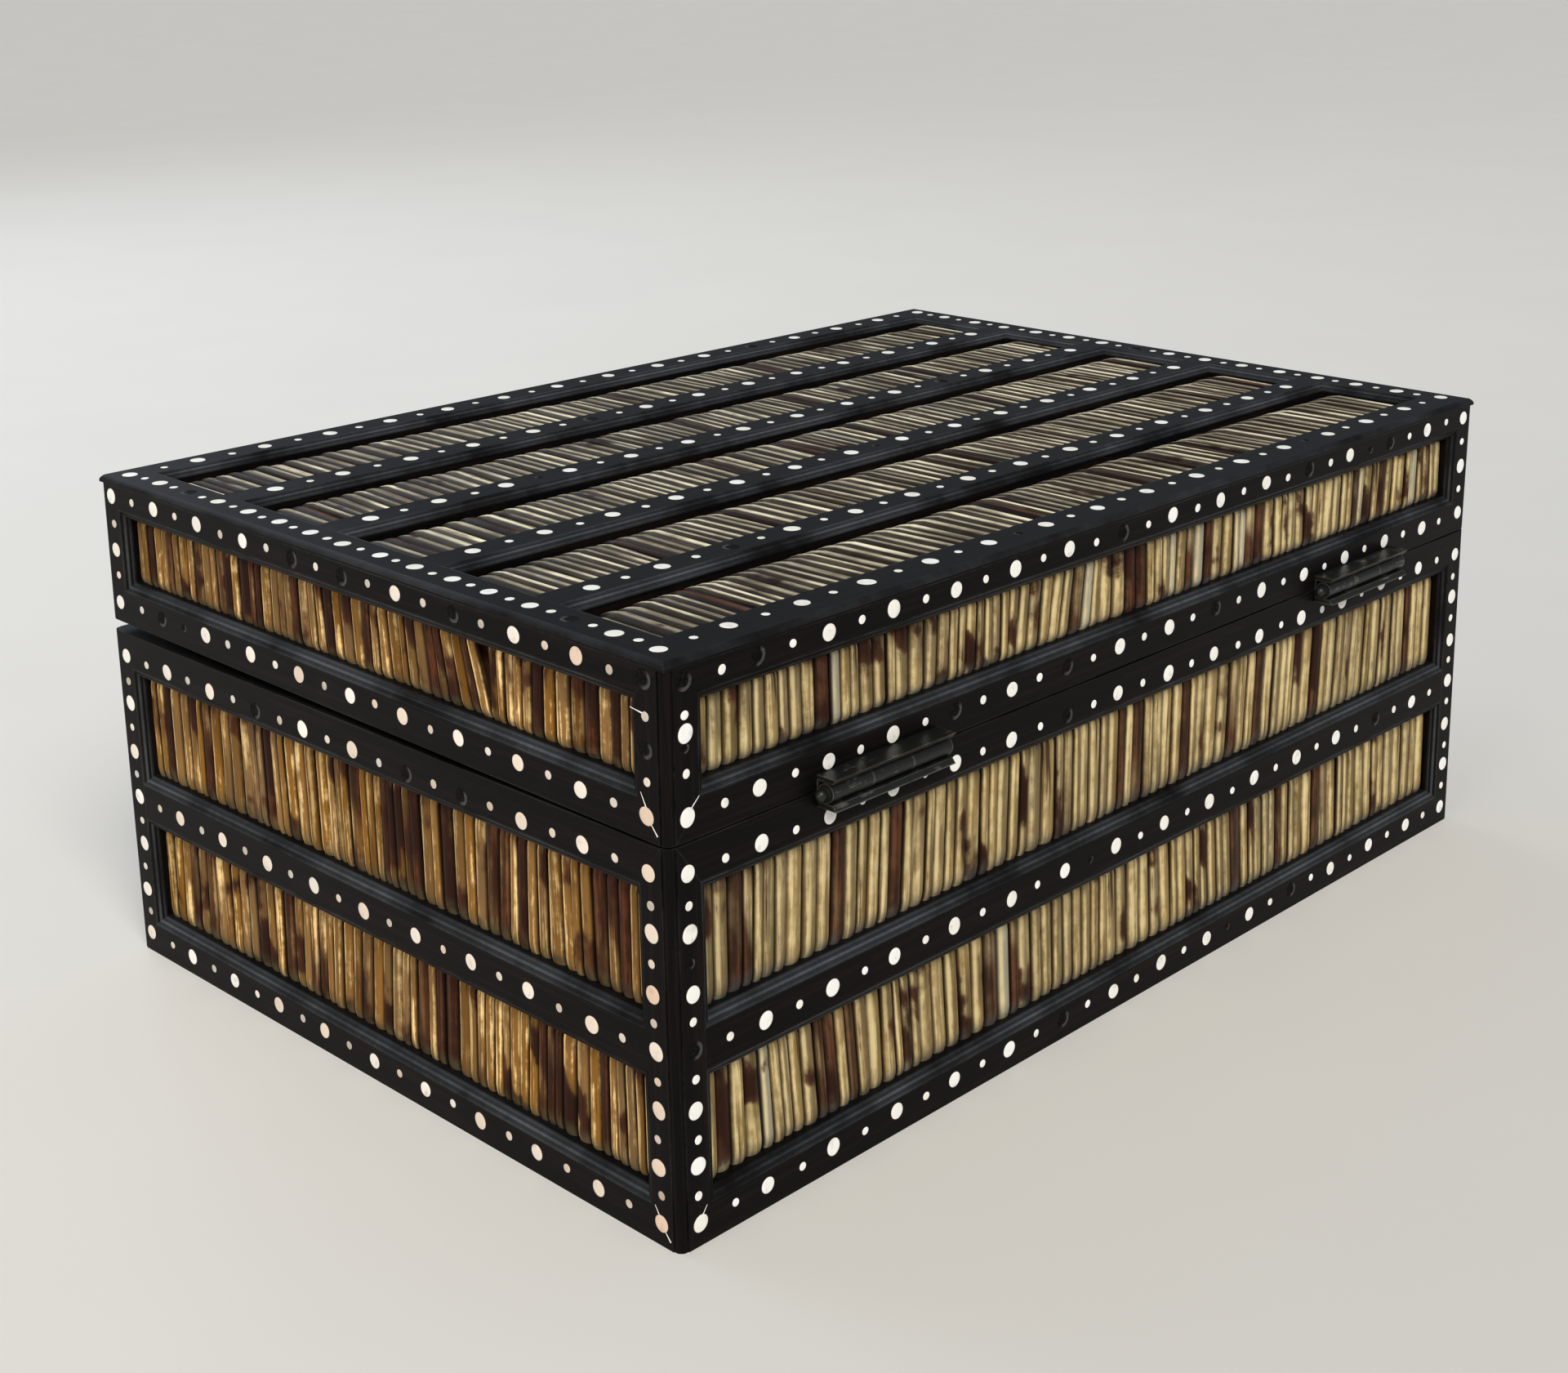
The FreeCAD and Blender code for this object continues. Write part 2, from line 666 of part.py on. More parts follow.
def leaf_outline():
    """The base leaf, seen along the pin."""
    face = -dim.leaf_gap / 2
    inner = -(dim.knuckle_radius + dim.barrel_clearance)
    outer = inner - dim.leaf_thickness
    slope = tangent(dim.stop_angle / 2)
    edge = -(dim.hinge_axis_out + dim.leaf_reach)
    under = face - dim.leaf_thickness
    return [
        (edge, under),
        (edge, face),
        (inner, face),
        (inner, inner),
        (-inner / slope, inner),
        (-outer / slope, outer),
        (outer, outer),
        (outer, under),
    ]


def leaf(name, outer_knuckles):
    """A leaf below its seam. The lid leaf is this form turned over, with the middle knuckle."""
    body = new_body(name)
    length, third = dim.hinge_length, dim.hinge_length / 3
    pad(body, sketch_outlines(body, "YZ_Plane", leaf_outline()), length)
    inner = -(dim.knuckle_radius + dim.barrel_clearance)
    neck = [(inner, -dim.knuckle_radius), (inner, -dim.leaf_gap / 2), (0, -dim.leaf_gap / 2),
            (0, -dim.knuckle_radius)]
    span = length if outer_knuckles else third - dim.knuckle_gap
    pad(body, sketch_outlines(body, "YZ_Plane", neck), span)
    barrel = new_sketch(body, "YZ_Plane")
    draw_circle(barrel, 0, 0, dim.knuckle_radius)
    pad(body, barrel, span)
    if outer_knuckles:
        room = dim.knuckle_radius + dim.barrel_clearance / 2
        space = [(-room, -room), (-room, room), (room, room), (room, -room)]
        pocket(body, sketch_outlines(body, "YZ_Plane", space), third / 2 + dim.knuckle_gap / 2)
    bore = new_sketch(body, "YZ_Plane")
    fit = dim.pin_seat_fit if outer_knuckles else dim.pin_running_fit
    draw_circle(bore, 0, 0, dim.pin_radius + fit)
    pocket(body, bore)
    return body


def pin(name):
    rod = doc.addObject("Part::Cylinder", name)
    rod.setExpression("Radius", dim.pin_radius.text)
    rod.setExpression("Height", (dim.hinge_length + 2 * dim.pin_end).text)
    return rod


for side, name in ((1, "right"), (-1, "left")):
    middle = side * hinge_x
    spot = (middle, hinge_y, seam_height)
    lower, upper = leaf(name + "_base_brass", True), leaf(name + "_lid_brass", False)
    rod = pin(name + "_rod")
    node(name + "_hinge_base_leaf", [place(lower, *spot)])
    node(name + "_hinge_lid_leaf", [place(upper, *spot, turns=[("X", 180), ("Z", 180)])], True)
    start = middle - dim.hinge_length / 2 - dim.pin_end
    node(name + "_hinge_pin", [place(rod, start, hinge_y, seam_height, turns=[("Y", 90)])])


# Build, check and write

doc.recompute()
for item in doc.Objects:
    if {"Invalid", "Error"} & set(item.State):
        raise RuntimeError("%s did not build: %s" % (item.Label, item.State))
os.makedirs("parts", exist_ok=True)
for item in nodes:
    shape = item.Shape
    if shape.isNull() or not shape.isValid() or not shape.Solids:
        raise RuntimeError("%s is not a valid solid" % item.Label)
    shape.exportStep("parts/%s.step" % item.Label)
    print("%-28s %2d solids  %9.1f mm3" % (item.Label, len(shape.Solids), shape.Volume))
print("%d sub-parts" % len(nodes))
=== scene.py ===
import json
import math
import random

import bpy
from mathutils import Matrix, Vector

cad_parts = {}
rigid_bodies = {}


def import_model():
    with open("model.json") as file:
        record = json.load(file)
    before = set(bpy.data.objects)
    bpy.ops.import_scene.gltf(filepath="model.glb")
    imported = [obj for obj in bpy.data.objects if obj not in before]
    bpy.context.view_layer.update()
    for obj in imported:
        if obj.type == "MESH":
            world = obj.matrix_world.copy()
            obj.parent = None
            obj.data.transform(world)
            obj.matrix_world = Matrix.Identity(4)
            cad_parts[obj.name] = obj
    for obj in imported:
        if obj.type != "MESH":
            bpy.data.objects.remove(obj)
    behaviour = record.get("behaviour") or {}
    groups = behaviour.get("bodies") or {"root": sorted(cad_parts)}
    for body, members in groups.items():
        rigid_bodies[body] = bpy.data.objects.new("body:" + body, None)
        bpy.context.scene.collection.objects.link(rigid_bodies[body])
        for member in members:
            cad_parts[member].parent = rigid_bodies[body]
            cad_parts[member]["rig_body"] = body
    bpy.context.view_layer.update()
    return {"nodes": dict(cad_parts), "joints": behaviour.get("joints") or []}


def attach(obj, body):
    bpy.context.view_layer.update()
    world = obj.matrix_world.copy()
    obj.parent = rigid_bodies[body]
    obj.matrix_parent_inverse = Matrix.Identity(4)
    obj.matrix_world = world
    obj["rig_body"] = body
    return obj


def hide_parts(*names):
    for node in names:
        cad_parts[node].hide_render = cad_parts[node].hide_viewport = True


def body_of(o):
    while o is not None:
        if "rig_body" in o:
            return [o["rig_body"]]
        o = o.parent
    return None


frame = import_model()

mm = 0.001


class Wire:
    # a socket of a material, so that sums of sockets read as sums
    def __init__(self, finish, socket):
        self.finish, self.socket = finish, socket

    def work(self, operation, other=0.0, swap=False):
        first, second = (other, self) if swap else (self, other)
        return self.finish.node("ShaderNodeMath", {"operation": operation}, {0: first, 1: second})

    def __add__(self, other):
        return self.work("ADD", other)

    def __radd__(self, other):
        return self.work("ADD", other, True)

    def __sub__(self, other):
        return self.work("SUBTRACT", other)

    def __rsub__(self, other):
        return self.work("SUBTRACT", other, True)

    def __mul__(self, other):
        return self.work("MULTIPLY", other)

    def __rmul__(self, other):
        return self.work("MULTIPLY", other, True)


class Finish:
    # one material with its Principled shader
    def __init__(self, name, **steady):
        self.material = bpy.data.materials.new(name)
        self.material.use_nodes = True
        self.tree = self.material.node_tree
        self.shader = self.tree.nodes["Principled BSDF"]
        self.set(**steady)

    def node(self, kind, settings=None, sockets=None, out=0):
        made = self.tree.nodes.new(kind)
        for key, value in (settings or {}).items():
            setattr(made, key, value)
        for key, value in (sockets or {}).items():
            self.feed(made.inputs[key], value)
        return Wire(self, made.outputs[out])

    def feed(self, socket, value):
        if isinstance(value, Wire):
            self.tree.links.new(value.socket, socket)
        elif socket.type == "RGBA" and len(value) == 3:
            socket.default_value = (*value, 1.0)
        else:
            socket.default_value = value

    def blend(self, factor, low, high):  # 6 and 7 are the Mix node's colours, and 2 is its result
        sockets = {0: factor, 6: low, 7: high}
        return self.node("ShaderNodeMix", {"data_type": "RGBA"}, sockets, 2)

    def step(self, value, low, high):
        edges = {"Value": value, "From Min": low, "From Max": high}
        return self.node("ShaderNodeMapRange", {"interpolation_type": "SMOOTHSTEP"}, edges)

    def place(self, stretch=(1, 1, 1)):
        spot = self.node("ShaderNodeTexCoord", out="Object")
        return self.node("ShaderNodeMapping", sockets={"Vector": spot, "Scale": stretch})

    def noise(self, spot, scale, detail=3.0, rough=0.55, warp=0.0):
        sockets = {"Vector": spot, "Scale": scale, "Detail": detail, "Roughness": rough,
                   "Distortion": warp}
        return self.node("ShaderNodeTexNoise", sockets=sockets, out="Fac")

    def marks(self):  # the four numbers that a piece keeps at each of its points
        tone = self.node("ShaderNodeAttribute", {"attribute_name": "tone"}, out="Color")
        last = self.node("ShaderNodeAttribute", {"attribute_name": "tone"}, out="Alpha")
        parts = [self.node("ShaderNodeSeparateColor", sockets={0: tone}, out=k) for k in range(3)]
        return parts + [last]

    def flatness(self, radius):  # 1 on a flat, and less on an arris as far in as the radius
        rounded = self.node("ShaderNodeBevel", {"samples": 4}, {"Radius": radius})
        plain = self.node("ShaderNodeNewGeometry", out="Normal")
        return self.node("ShaderNodeVectorMath", {"operation": "DOT_PRODUCT"},
                         {0: rounded, 1: plain}, "Value")

    def bump(self, height, distance, strength=1.0):
        sockets = {"Height": height, "Distance": distance, "Strength": strength}
        self.set(Normal=self.node("ShaderNodeBump", sockets=sockets))

    def set(self, **sockets):
        for socket, value in sockets.items():
            self.feed(self.shader.inputs[socket.replace("_", " ")], value)


# the lid rests a little open, so its pieces are laid out on the shut box and then turned with it
hingeSpot = Vector(frame["joints"][0]["pos_m"])
lidBoard = max(frame["nodes"]["lid_top_board"].data.polygons, key=lambda face: face.normal.z)
restTilt = math.atan2(lidBoard.normal.y, lidBoard.normal.z)
restTurn = (Matrix.Translation(hingeSpot) @ Matrix.Rotation(-restTilt, 4, "X")
            @ Matrix.Translation(-hingeSpot))


def shutBox(name):  # a node's lowest and highest corners with the lid shut
    node = frame["nodes"][name]
    turn = restTurn.inverted() if "lid" in body_of(node) else Matrix()
    spots = [turn @ v.co for v in node.data.vertices]
    return [Vector([pick(s[axis] for s in spots) for axis in range(3)]) for pick in (min, max)]


halfLength = shutBox("base_right_top_rail")[1].x
halfDepth = shutBox("base_back_top_rail")[1].y
height = shutBox("lid_top_front_rail")[1].z
faces = {  # where each face starts, its two directions and its outward direction
    face: (Vector((x * halfLength, y * halfDepth, z * height)), *map(Vector, directions))
    for face, (x, y, z), directions in (
        ("back", (1, 1, 0), ((-1, 0, 0), (0, 0, 1), (0, 1, 0))),
        ("front", (-1, -1, 0), ((1, 0, 0), (0, 0, 1), (0, -1, 0))),
        ("right", (1, -1, 0), ((0, 1, 0), (0, 0, 1), (1, 0, 0))),
        ("left", (-1, 1, 0), ((0, -1, 0), (0, 0, 1), (-1, 0, 0))),
        ("top", (-1, -1, 1), ((1, 0, 0), (0, 1, 0), (0, 0, 1))))}
print("frame: lid rests %.2f degrees open" % math.degrees(restTilt))


def onFace(face, along, up, out):
    start, first, second, outward = faces[face]
    return start + first * along + second * up + outward * out


def addPiece(name, body, material, shape, smooth=True, replaced=()):
    # shape holds the spots, the polygons and the tones of the spots
    spots, polygons, tones = shape
    mesh = bpy.data.meshes.new(name)
    turn = restTurn if body == "lid" else Matrix()
    mesh.from_pydata([turn @ Vector(s) for s in spots], [], polygons)
    layer = mesh.color_attributes.new("tone", "FLOAT_COLOR", "POINT")
    layer.data.foreach_set("color", [number for tone in tones for number in tone])
    mesh.polygons.foreach_set("use_smooth", [smooth] * len(mesh.polygons))
    mesh.materials.append(material)
    mesh.update()
    piece = bpy.data.objects.new(name, mesh)
    bpy.context.scene.collection.objects.link(piece)
    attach(piece, body)
    if replaced:
        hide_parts(*replaced)


camera = {"azimuth": 134.96, "elevation": 14.5, "roll": -1.08, "lens": 52.1, "sensor": 36,
          "shift": -0.125, "distance": 0.6296, "aside": -0.0128, "above": 0.1073, "near": 0.01}


def addCamera():
    turn, rise, roll = [math.radians(camera[k]) for k in ("azimuth", "elevation", "roll")]
    back = Vector((math.sin(turn) * math.cos(rise), -math.cos(turn) * math.cos(rise),
                   math.sin(rise)))
    level = Vector((math.cos(turn), math.sin(turn), 0))
    plumb = back.cross(level)
    right = level * math.cos(roll) + plumb * math.sin(roll)
    up = plumb * math.cos(roll) - level * math.sin(roll)
    data = bpy.data.cameras.new("camera")
    data.lens, data.sensor_width = camera["lens"], camera["sensor"]
    data.shift_y, data.clip_start = camera["shift"], camera["near"]
    view = bpy.data.objects.new("camera", data)
    view.matrix_world = Matrix((right, up, back)).transposed().to_4x4()
    view.location = back * camera["distance"] + right * camera["aside"] + up * camera["above"]
    bpy.context.scene.collection.objects.link(view)
    bpy.context.scene.camera = view


studio = {
    "floor": (0.66, 0.64, 0.61), "floorReach": 60, "mottle": 9, "lighter": 1.05,
    "sky": (0.68, 0.76, 0.85), "skyPower": 0.34,
    "sun": {"from": (0.42, 0.66, 0.78), "power": 2.9, "angle": 34, "colour": (1.0, 0.97, 0.91)},
    "lamps": [  # spot, aim, width, height, power, colour
        ((0.10, -1.45, 1.05), (0, 0, 0.10), 1.6, 0.7, 9, (0.80, 0.90, 1.0)),
        ((1.50, 0.25, 0.40), (0, 0, 0.06), 0.7, 0.6, 7, (1.0, 0.88, 0.70))]}


def addFloor():
    paint = Finish("floorPaint", Roughness=0.7)
    light = tuple(c * studio["lighter"] for c in studio["floor"])
    mottle = paint.noise(paint.place(), studio["mottle"], 2)
    paint.set(Base_Color=paint.blend(mottle, studio["floor"], light))
    mesh = bpy.data.meshes.new("floor")
    reach = studio["floorReach"]
    corners = [(-reach, -reach, 0), (reach, -reach, 0), (reach, reach, 0), (-reach, reach, 0)]
    mesh.from_pydata(corners, [], [(0, 1, 2, 3)])
    mesh.materials.append(paint.material)
    floor = bpy.data.objects.new("floor", mesh)
    bpy.context.scene.collection.objects.link(floor)


def addLight(name, data, shining):
    light = bpy.data.objects.new(name, data)
    light.rotation_euler = shining.to_track_quat("-Z", "Y").to_euler()
    bpy.context.scene.collection.objects.link(light)
    return light


def addStudio():
    addFloor()
    world = bpy.data.worlds.new("studio")
    world.use_nodes = True
    sky = world.node_tree.nodes["Background"].inputs
    sky["Color"].default_value = (*studio["sky"], 1)
    sky["Strength"].default_value = studio["skyPower"]
    bpy.context.scene.world = world
    bpy.context.scene.view_settings.view_transform = "Standard"
    look = studio["sun"]
    sun = bpy.data.lights.new("sun", "SUN")
    sun.energy, sun.color, sun.angle = look["power"], look["colour"], math.radians(look["angle"])
    addLight("sun", sun, -Vector(look["from"]))
    for number, (spot, aim, width, tall, power, colour) in enumerate(studio["lamps"]):
        data = bpy.data.lights.new("lamp%d" % number, "AREA")
        data.shape, data.size, data.size_y = "RECTANGLE", width, tall
        data.energy, data.color = power, colour
        addLight("lamp%d" % number, data, Vector(aim) - Vector(spot)).location = spot


addCamera()
addStudio()
print("camera and studio ready")


# in the looks below, names such as grain and patch give the scale of a noise, and a pair says where
# a mask starts and where it is full
ebonyLook = {
    # the dust colour is partly a painted bluish sheen and highlight, and the groove colour is
    # painted shade
    "black": (0.0030, 0.0027, 0.0029), "brown": (0.0075, 0.0050, 0.0042),
    "dustAndSheen": (0.070, 0.080, 0.090), "worn": (0.050, 0.048, 0.046), "groove": (0.003, 0.003, 0.003),
    "grain": 900, "patch": 38, "speck": 700, "scratch": 460,
    "slope": (0.15, 0.45), "flat": (0.90, 0.985), "scratched": (0.68, 0.73),
    "dusted": (0.25, 0.70), "arris": (0.90, 0.995), "rubbed": (0.35, 0.65),
    "streaked": (0.42, 0.72), "handled": (0.62, 0.80),
    "shine": 0.05, "arrisWidth": 0.35 * mm, "relief": 0.06 * mm}


def ebony(name, grain):
    # tone holds the dust of the bands, which is partly a painted highlight on the raised bead
    # lines, and the painted shade of the grooves
    look = ebonyLook
    finish = Finish(name, IOR=1.5, Specular_IOR_Level=look["shine"])
    dustHighlightMark, grooveMark = finish.marks()[:2]
    streaks = finish.noise(finish.place(grain), look["grain"], 4, 0.6, 0.4)
    patches = finish.noise(finish.place(), look["patch"], 4)
    specks = finish.noise(finish.place(), look["speck"], 4, 0.7)
    lines = finish.noise(finish.place((1.6, 1.2, 0.7)), look["scratch"], 5, 0.7, 1.5)
    scratches = finish.step(lines, *look["scratched"])
    # upward slopes and flats get more dust, which is partly a painted bluish sheen of the sky
    normal = finish.node("ShaderNodeTexCoord", out="Normal")
    upward = finish.node("ShaderNodeSeparateXYZ", sockets={0: normal}, out="Z")
    flat = finish.step(upward, *look["flat"])
    slope = finish.step(upward, *look["slope"]) * (1 - flat)
    dustSheenMask = (slope * 0.30 + flat * 0.06 + dustHighlightMark) * finish.step(patches, *look["dusted"])
    dustSheenLevel = dustSheenMask * (0.5 + specks) + scratches * 0.07
    edge = 1 - finish.step(finish.flatness(look["arrisWidth"]), *look["arris"])
    arris = edge * finish.step(patches + (specks - 0.5) * 0.5, *look["rubbed"])
    wood = finish.blend(finish.step(streaks, *look["streaked"]), look["black"], look["brown"])
    wear = finish.step(patches, *look["handled"]) * 0.07 + arris * 0.60
    dull = finish.blend(dustSheenLevel, finish.blend(wear, wood, look["worn"]), look["dustAndSheen"])
    # the groove colour is painted shade in the low bands of the moulding
    finish.set(Base_Color=finish.blend(grooveMark, dull, look["groove"]),
               Roughness=0.30 + patches * 0.16 + dustSheenLevel * 0.3)
    finish.bump(streaks * 0.6 + scratches * 0.4 + patches * 0.3, look["relief"], 0.6)
    return finish.material


boneLook = {
    "cream": (0.87, 0.84, 0.76), "white": (0.93, 0.93, 0.91), "warmLightPeach": (0.66, 0.40, 0.24),
    "grey": (0.28, 0.25, 0.21), "dirt": (0.09, 0.065, 0.045),
    "pore": 2600, "cloud": 420, "stained": (0.52, 0.80), "spotted": (0.66, 0.74),
    "rim": (0.92, 1.0), "relief": 0.03 * mm}


def bone():
    # tone holds a random tint of the bone, the share of painted warm light, how near a point is to
    # the edge, and the dullness
    look = boneLook
    finish = Finish("boneInlay", IOR=1.54, Coat_Weight=0.2, Coat_Roughness=0.2)
    shade, warmLightShare, edge, dull = finish.marks()
    pores = finish.noise(finish.place((1, 1, 0.4)), look["pore"], 3, 0.6)
    clouds = finish.noise(finish.place(), look["cloud"], 2)
    clean = finish.blend(shade, look["cream"], look["white"])
    # the peach is painted warm light from the lamp at the end
    warmLit = finish.blend(warmLightShare, clean, look["warmLightPeach"])
    grey = finish.step(clouds, *look["stained"]) * 0.35 + dull * 0.75
    stained = finish.blend(grey, warmLit, look["grey"])
    spotted = finish.blend(finish.step(pores, *look["spotted"]) * 0.5, stained, look["dirt"])
    rim = finish.step(edge, *look["rim"]) * 0.7
    finish.set(Base_Color=finish.blend(rim, spotted, look["dirt"]), Roughness=0.38 + clouds * 0.25)
    finish.bump(pores, look["relief"], 0.5)
    return finish.material


# the black and brown floor is dirt and painted shade of a pit that has no depth, and the pale
# colour is a painted highlight on its lit wall
socketLook = {
    "black": (0.0012, 0.0010, 0.0010), "brown": (0.012, 0.010, 0.009), "dustAndSheen": (0.11, 0.107, 0.105),
    "crumb": 1500, "rim": (0.55, 0.80), "litSide": (0.45, 0.85), "filled": (0.45, 0.70),
    "shine": 0.08, "relief": 0.2 * mm}


def socketDirtAndLight():
    # tone holds the lit side, which gets a painted highlight on the wall of the pit, nothing, and
    # how near a point is to the edge
    look = socketLook
    finish = Finish("emptySocket", IOR=1.45, Specular_IOR_Level=look["shine"])
    marks = finish.marks()
    crumbs = finish.noise(finish.place(), look["crumb"], 4, 0.7)
    # a painted highlight on the lit side of the rim, over a floor of dirt and painted shade
    rim = finish.step(marks[2], *look["rim"]) * finish.step(marks[0], *look["litSide"])
    dirt = finish.blend(finish.step(crumbs, *look["filled"]), look["black"], look["brown"])
    finish.set(Base_Color=finish.blend(rim * crumbs, dirt, look["dustAndSheen"]),
               Roughness=0.70 - rim * 0.1)
    finish.bump(crumbs, look["relief"], 0.8)
    return finish.material


# the end copy is warmer partly as painted warm light from the lamp at the end, and the top copy has
# a brighter pale for its painted highlight and wide dark seams for painted shade
quillLook = {
    "side": {"pale": (0.68, 0.54, 0.275), "straw": (0.27, 0.178, 0.064),
             "olive": (0.092, 0.058, 0.021), "haze": (0.07, 0.07, 0.065),
             "seam": (0.66, 0.97), "fine": (0.44, 0.68), "maroon": 0.76, "burnt": 0.565,
             "shine": 0.07},
    "end": {"pale": (0.95, 0.67, 0.30), "straw": (0.215, 0.095, 0.012),
            "olive": (0.085, 0.038, 0.005), "haze": (0.09, 0.08, 0.045),
            "seam": (0.60, 0.94), "fine": (0.48, 0.66), "maroon": 0.72, "burnt": 0.530,
            "shine": 0.06},
    "top": {"pale": (0.98, 0.88, 0.64), "straw": (0.34, 0.27, 0.165),
            "olive": (0.090, 0.066, 0.045), "haze": (0.045, 0.054, 0.062),
            "seam": (0.12, 0.52), "fine": (0.34, 0.60), "maroon": 0.86, "burnt": 0.60,
            "shine": 0.08},
    "all": {"rust": (0.085, 0.024, 0.010), "dark": (0.020, 0.0065, 0.0040),
            "bleached": (0.42, 0.42, 0.34), "gapDirtAndShade": (0.0055, 0.0026, 0.0018),
            "cluster": 26, "burn": 62, "ripened": (0.42, 0.64), "drab": (0.49, 0.58),
            # where the painted highlight on each quill starts, ends and shows
            "paintedHighlightStart": (0.08, 0.20), "paintedHighlightEnd": (0.26, 0.44), "paintedHighlightLit": (0.55, 0.85),
            "turned": (0.50, 0.66), "rusty": (0.40, 0.68), "streaked": (0.36, 0.26),
            "foot": (0.0, 0.18), "footDust": (0.45, 0.75), "relief": 0.25 * mm}}


def quillHorn(kind):
    # tone holds a chance number of the quill, the places along and across it, and its bleach
    look = {**quillLook["all"], **quillLook[kind]}
    finish = Finish("quillHorn_" + kind, IOR=1.5, Specular_IOR_Level=look["shine"])
    chance, along, across, bleach = finish.marks()

    def drawnOut(x, y=0.0):  # a spot of the quill's own, drawn out along it
        return finish.node("ShaderNodeCombineXYZ", sockets={0: x, 1: y})

    slow = finish.noise(drawnOut(chance * 61.0, along * 0.7 + across * 0.25), 1.0, 1.0, 0.5)
    fibres = finish.noise(drawnOut(chance * 97.0 + across * 1.3, along * 0.22), 3.0, 3, 0.6)
    flecks = finish.noise(drawnOut(chance * 31.0 + across * 0.8, along * 2.6), 2.2, 4, 0.6)
    own = finish.noise(drawnOut(chance * 173.0), 1.0, 0)
    cluster = finish.noise(finish.place(), look["cluster"], 2)

    # from pale to straw to olive
    ripe = finish.step(slow + (cluster - 0.5) * 0.5 + (fibres - 0.5) * 0.25, *look["ripened"])
    fine = finish.step(fibres + (flecks - 0.5) * 0.4 - ripe * 0.08, *look["fine"])
    light = finish.blend(fine, look["straw"], look["pale"])
    drab = finish.step(own, *look["drab"]) * 0.62
    shaded = finish.blend((ripe * 0.75).work("MAXIMUM", drab), light, look["olive"])
    white = finish.blend(bleach, shaded, look["bleached"])
    # a painted highlight along one edge of each quill, in the pale colour
    paintedHighlightBand = finish.step(across, *look["paintedHighlightStart"]) * (1 - finish.step(across, *look["paintedHighlightEnd"]))
    crest = paintedHighlightBand * finish.step(fibres + flecks * 0.5, *look["paintedHighlightLit"]) * 0.75
    withPaintedHighlight = finish.blend(crest, white, look["pale"])

    # brown patches and whole brown quills
    maroon, start = look["maroon"], look["burnt"]
    whole = (finish.step(chance, maroon, maroon + 0.03)
             * finish.step(slow + cluster * 0.4, *look["turned"]))
    burnt = (slow * 0.55 + finish.noise(finish.place(), look["burn"], 2) * 0.45
             + (flecks - 0.5) * 0.10 + (fibres - 0.5) * 0.10)
    tips = finish.step(burnt, start, start + 0.045)
    grained = finish.blend(finish.step(fibres + (flecks - 0.5) * 0.5, *look["rusty"]),
                           look["dark"], look["rust"])
    brown = finish.blend(whole.work("MAXIMUM", tips) * 0.95, withPaintedHighlight, grained)
    streak = finish.step(fibres + (slow - 0.5) * 0.3, *look["streaked"]) * 0.85
    deep = finish.step(burnt, start + 0.02, start + 0.09) * 0.9
    veined = finish.blend(streak.work("MAXIMUM", deep), brown, look["dark"])

    # dust at the foot, and the dark flanks toward the next quill: painted shade, partly dirt in the
    # groove
    foot = ((1 - finish.step(along, *look["foot"]))
            * finish.step(flecks + cluster * 0.4, *look["footDust"]))
    hazy = finish.blend(foot * 0.75, veined, look["haze"])
    gapDirtAndShade = finish.step((across * 2.0 - 1.0).work("ABSOLUTE"), *look["seam"]) * 0.95
    finish.set(Base_Color=finish.blend(gapDirtAndShade, hazy, look["gapDirtAndShade"]),
               Roughness=0.34 + flecks * 0.18 + foot * 0.3)
    finish.bump(fibres * 0.8 + flecks * 0.3, look["relief"], 0.8)
    return finish.material


brassLook = {
    "dark": (0.026, 0.028, 0.024), "bright": (0.24, 0.22, 0.18), "grimeAndShade": (0.006, 0.005, 0.004),
    "patch": 210, "line": 1500, "arris": (0.86, 0.99), "worn": (0.56, 0.80),
    "metallic": 0.75, "arrisWidth": 0.4 * mm, "relief": 0.12 * mm}


def agedBrass():
    # tone holds the grime, and the painted shade in the screw slots
    look = brassLook
    finish = Finish("agedBrass", Metallic=look["metallic"])
    grimeAndShade = finish.marks()[0]
    patches = finish.noise(finish.place(), look["patch"], 5, 0.62)
    lines = finish.noise(finish.place((0.04, 1, 1)), look["line"], 3, 0.6)
    edge = 1 - finish.step(finish.flatness(look["arrisWidth"]), *look["arris"])
    worn = finish.step(patches + (lines - 0.5) * 0.5 + edge * 0.35, *look["worn"])
    metal = finish.blend(worn, look["dark"], look["bright"])
    finish.set(Base_Color=finish.blend(grimeAndShade, metal, look["grimeAndShade"]), Roughness=0.42 - worn * 0.14)
    finish.bump(patches * 0.5 + lines * 0.5, look["relief"], 0.7)
    return finish.material


boardLook = {
    "deep": (0.20, 0.078, 0.032), "light": (0.31, 0.138, 0.056), "pores": (0.10, 0.036, 0.016),
    "ring": 85, "fine": 900, "ringed": (0.30, 0.70), "pored": (0.55, 0.75), "relief": 0.08 * mm}


def boardWood(name, grain):
    look = boardLook
    finish = Finish(name, IOR=1.48, Coat_Weight=0.1, Coat_Roughness=0.4)
    rings = finish.noise(finish.place(grain), look["ring"], 4, 0.55, 0.25)
    fine = finish.noise(finish.place(tuple(g * g for g in grain)), look["fine"], 3, 0.6)
    tint = finish.blend(finish.step(rings, *look["ringed"]), look["deep"], look["light"])
    pores = finish.step(fine, *look["pored"]) * 0.5
    finish.set(Base_Color=finish.blend(pores, tint, look["pores"]), Roughness=0.45 + fine * 0.2)
    finish.bump(fine, look["relief"], 0.6)
    return finish.material


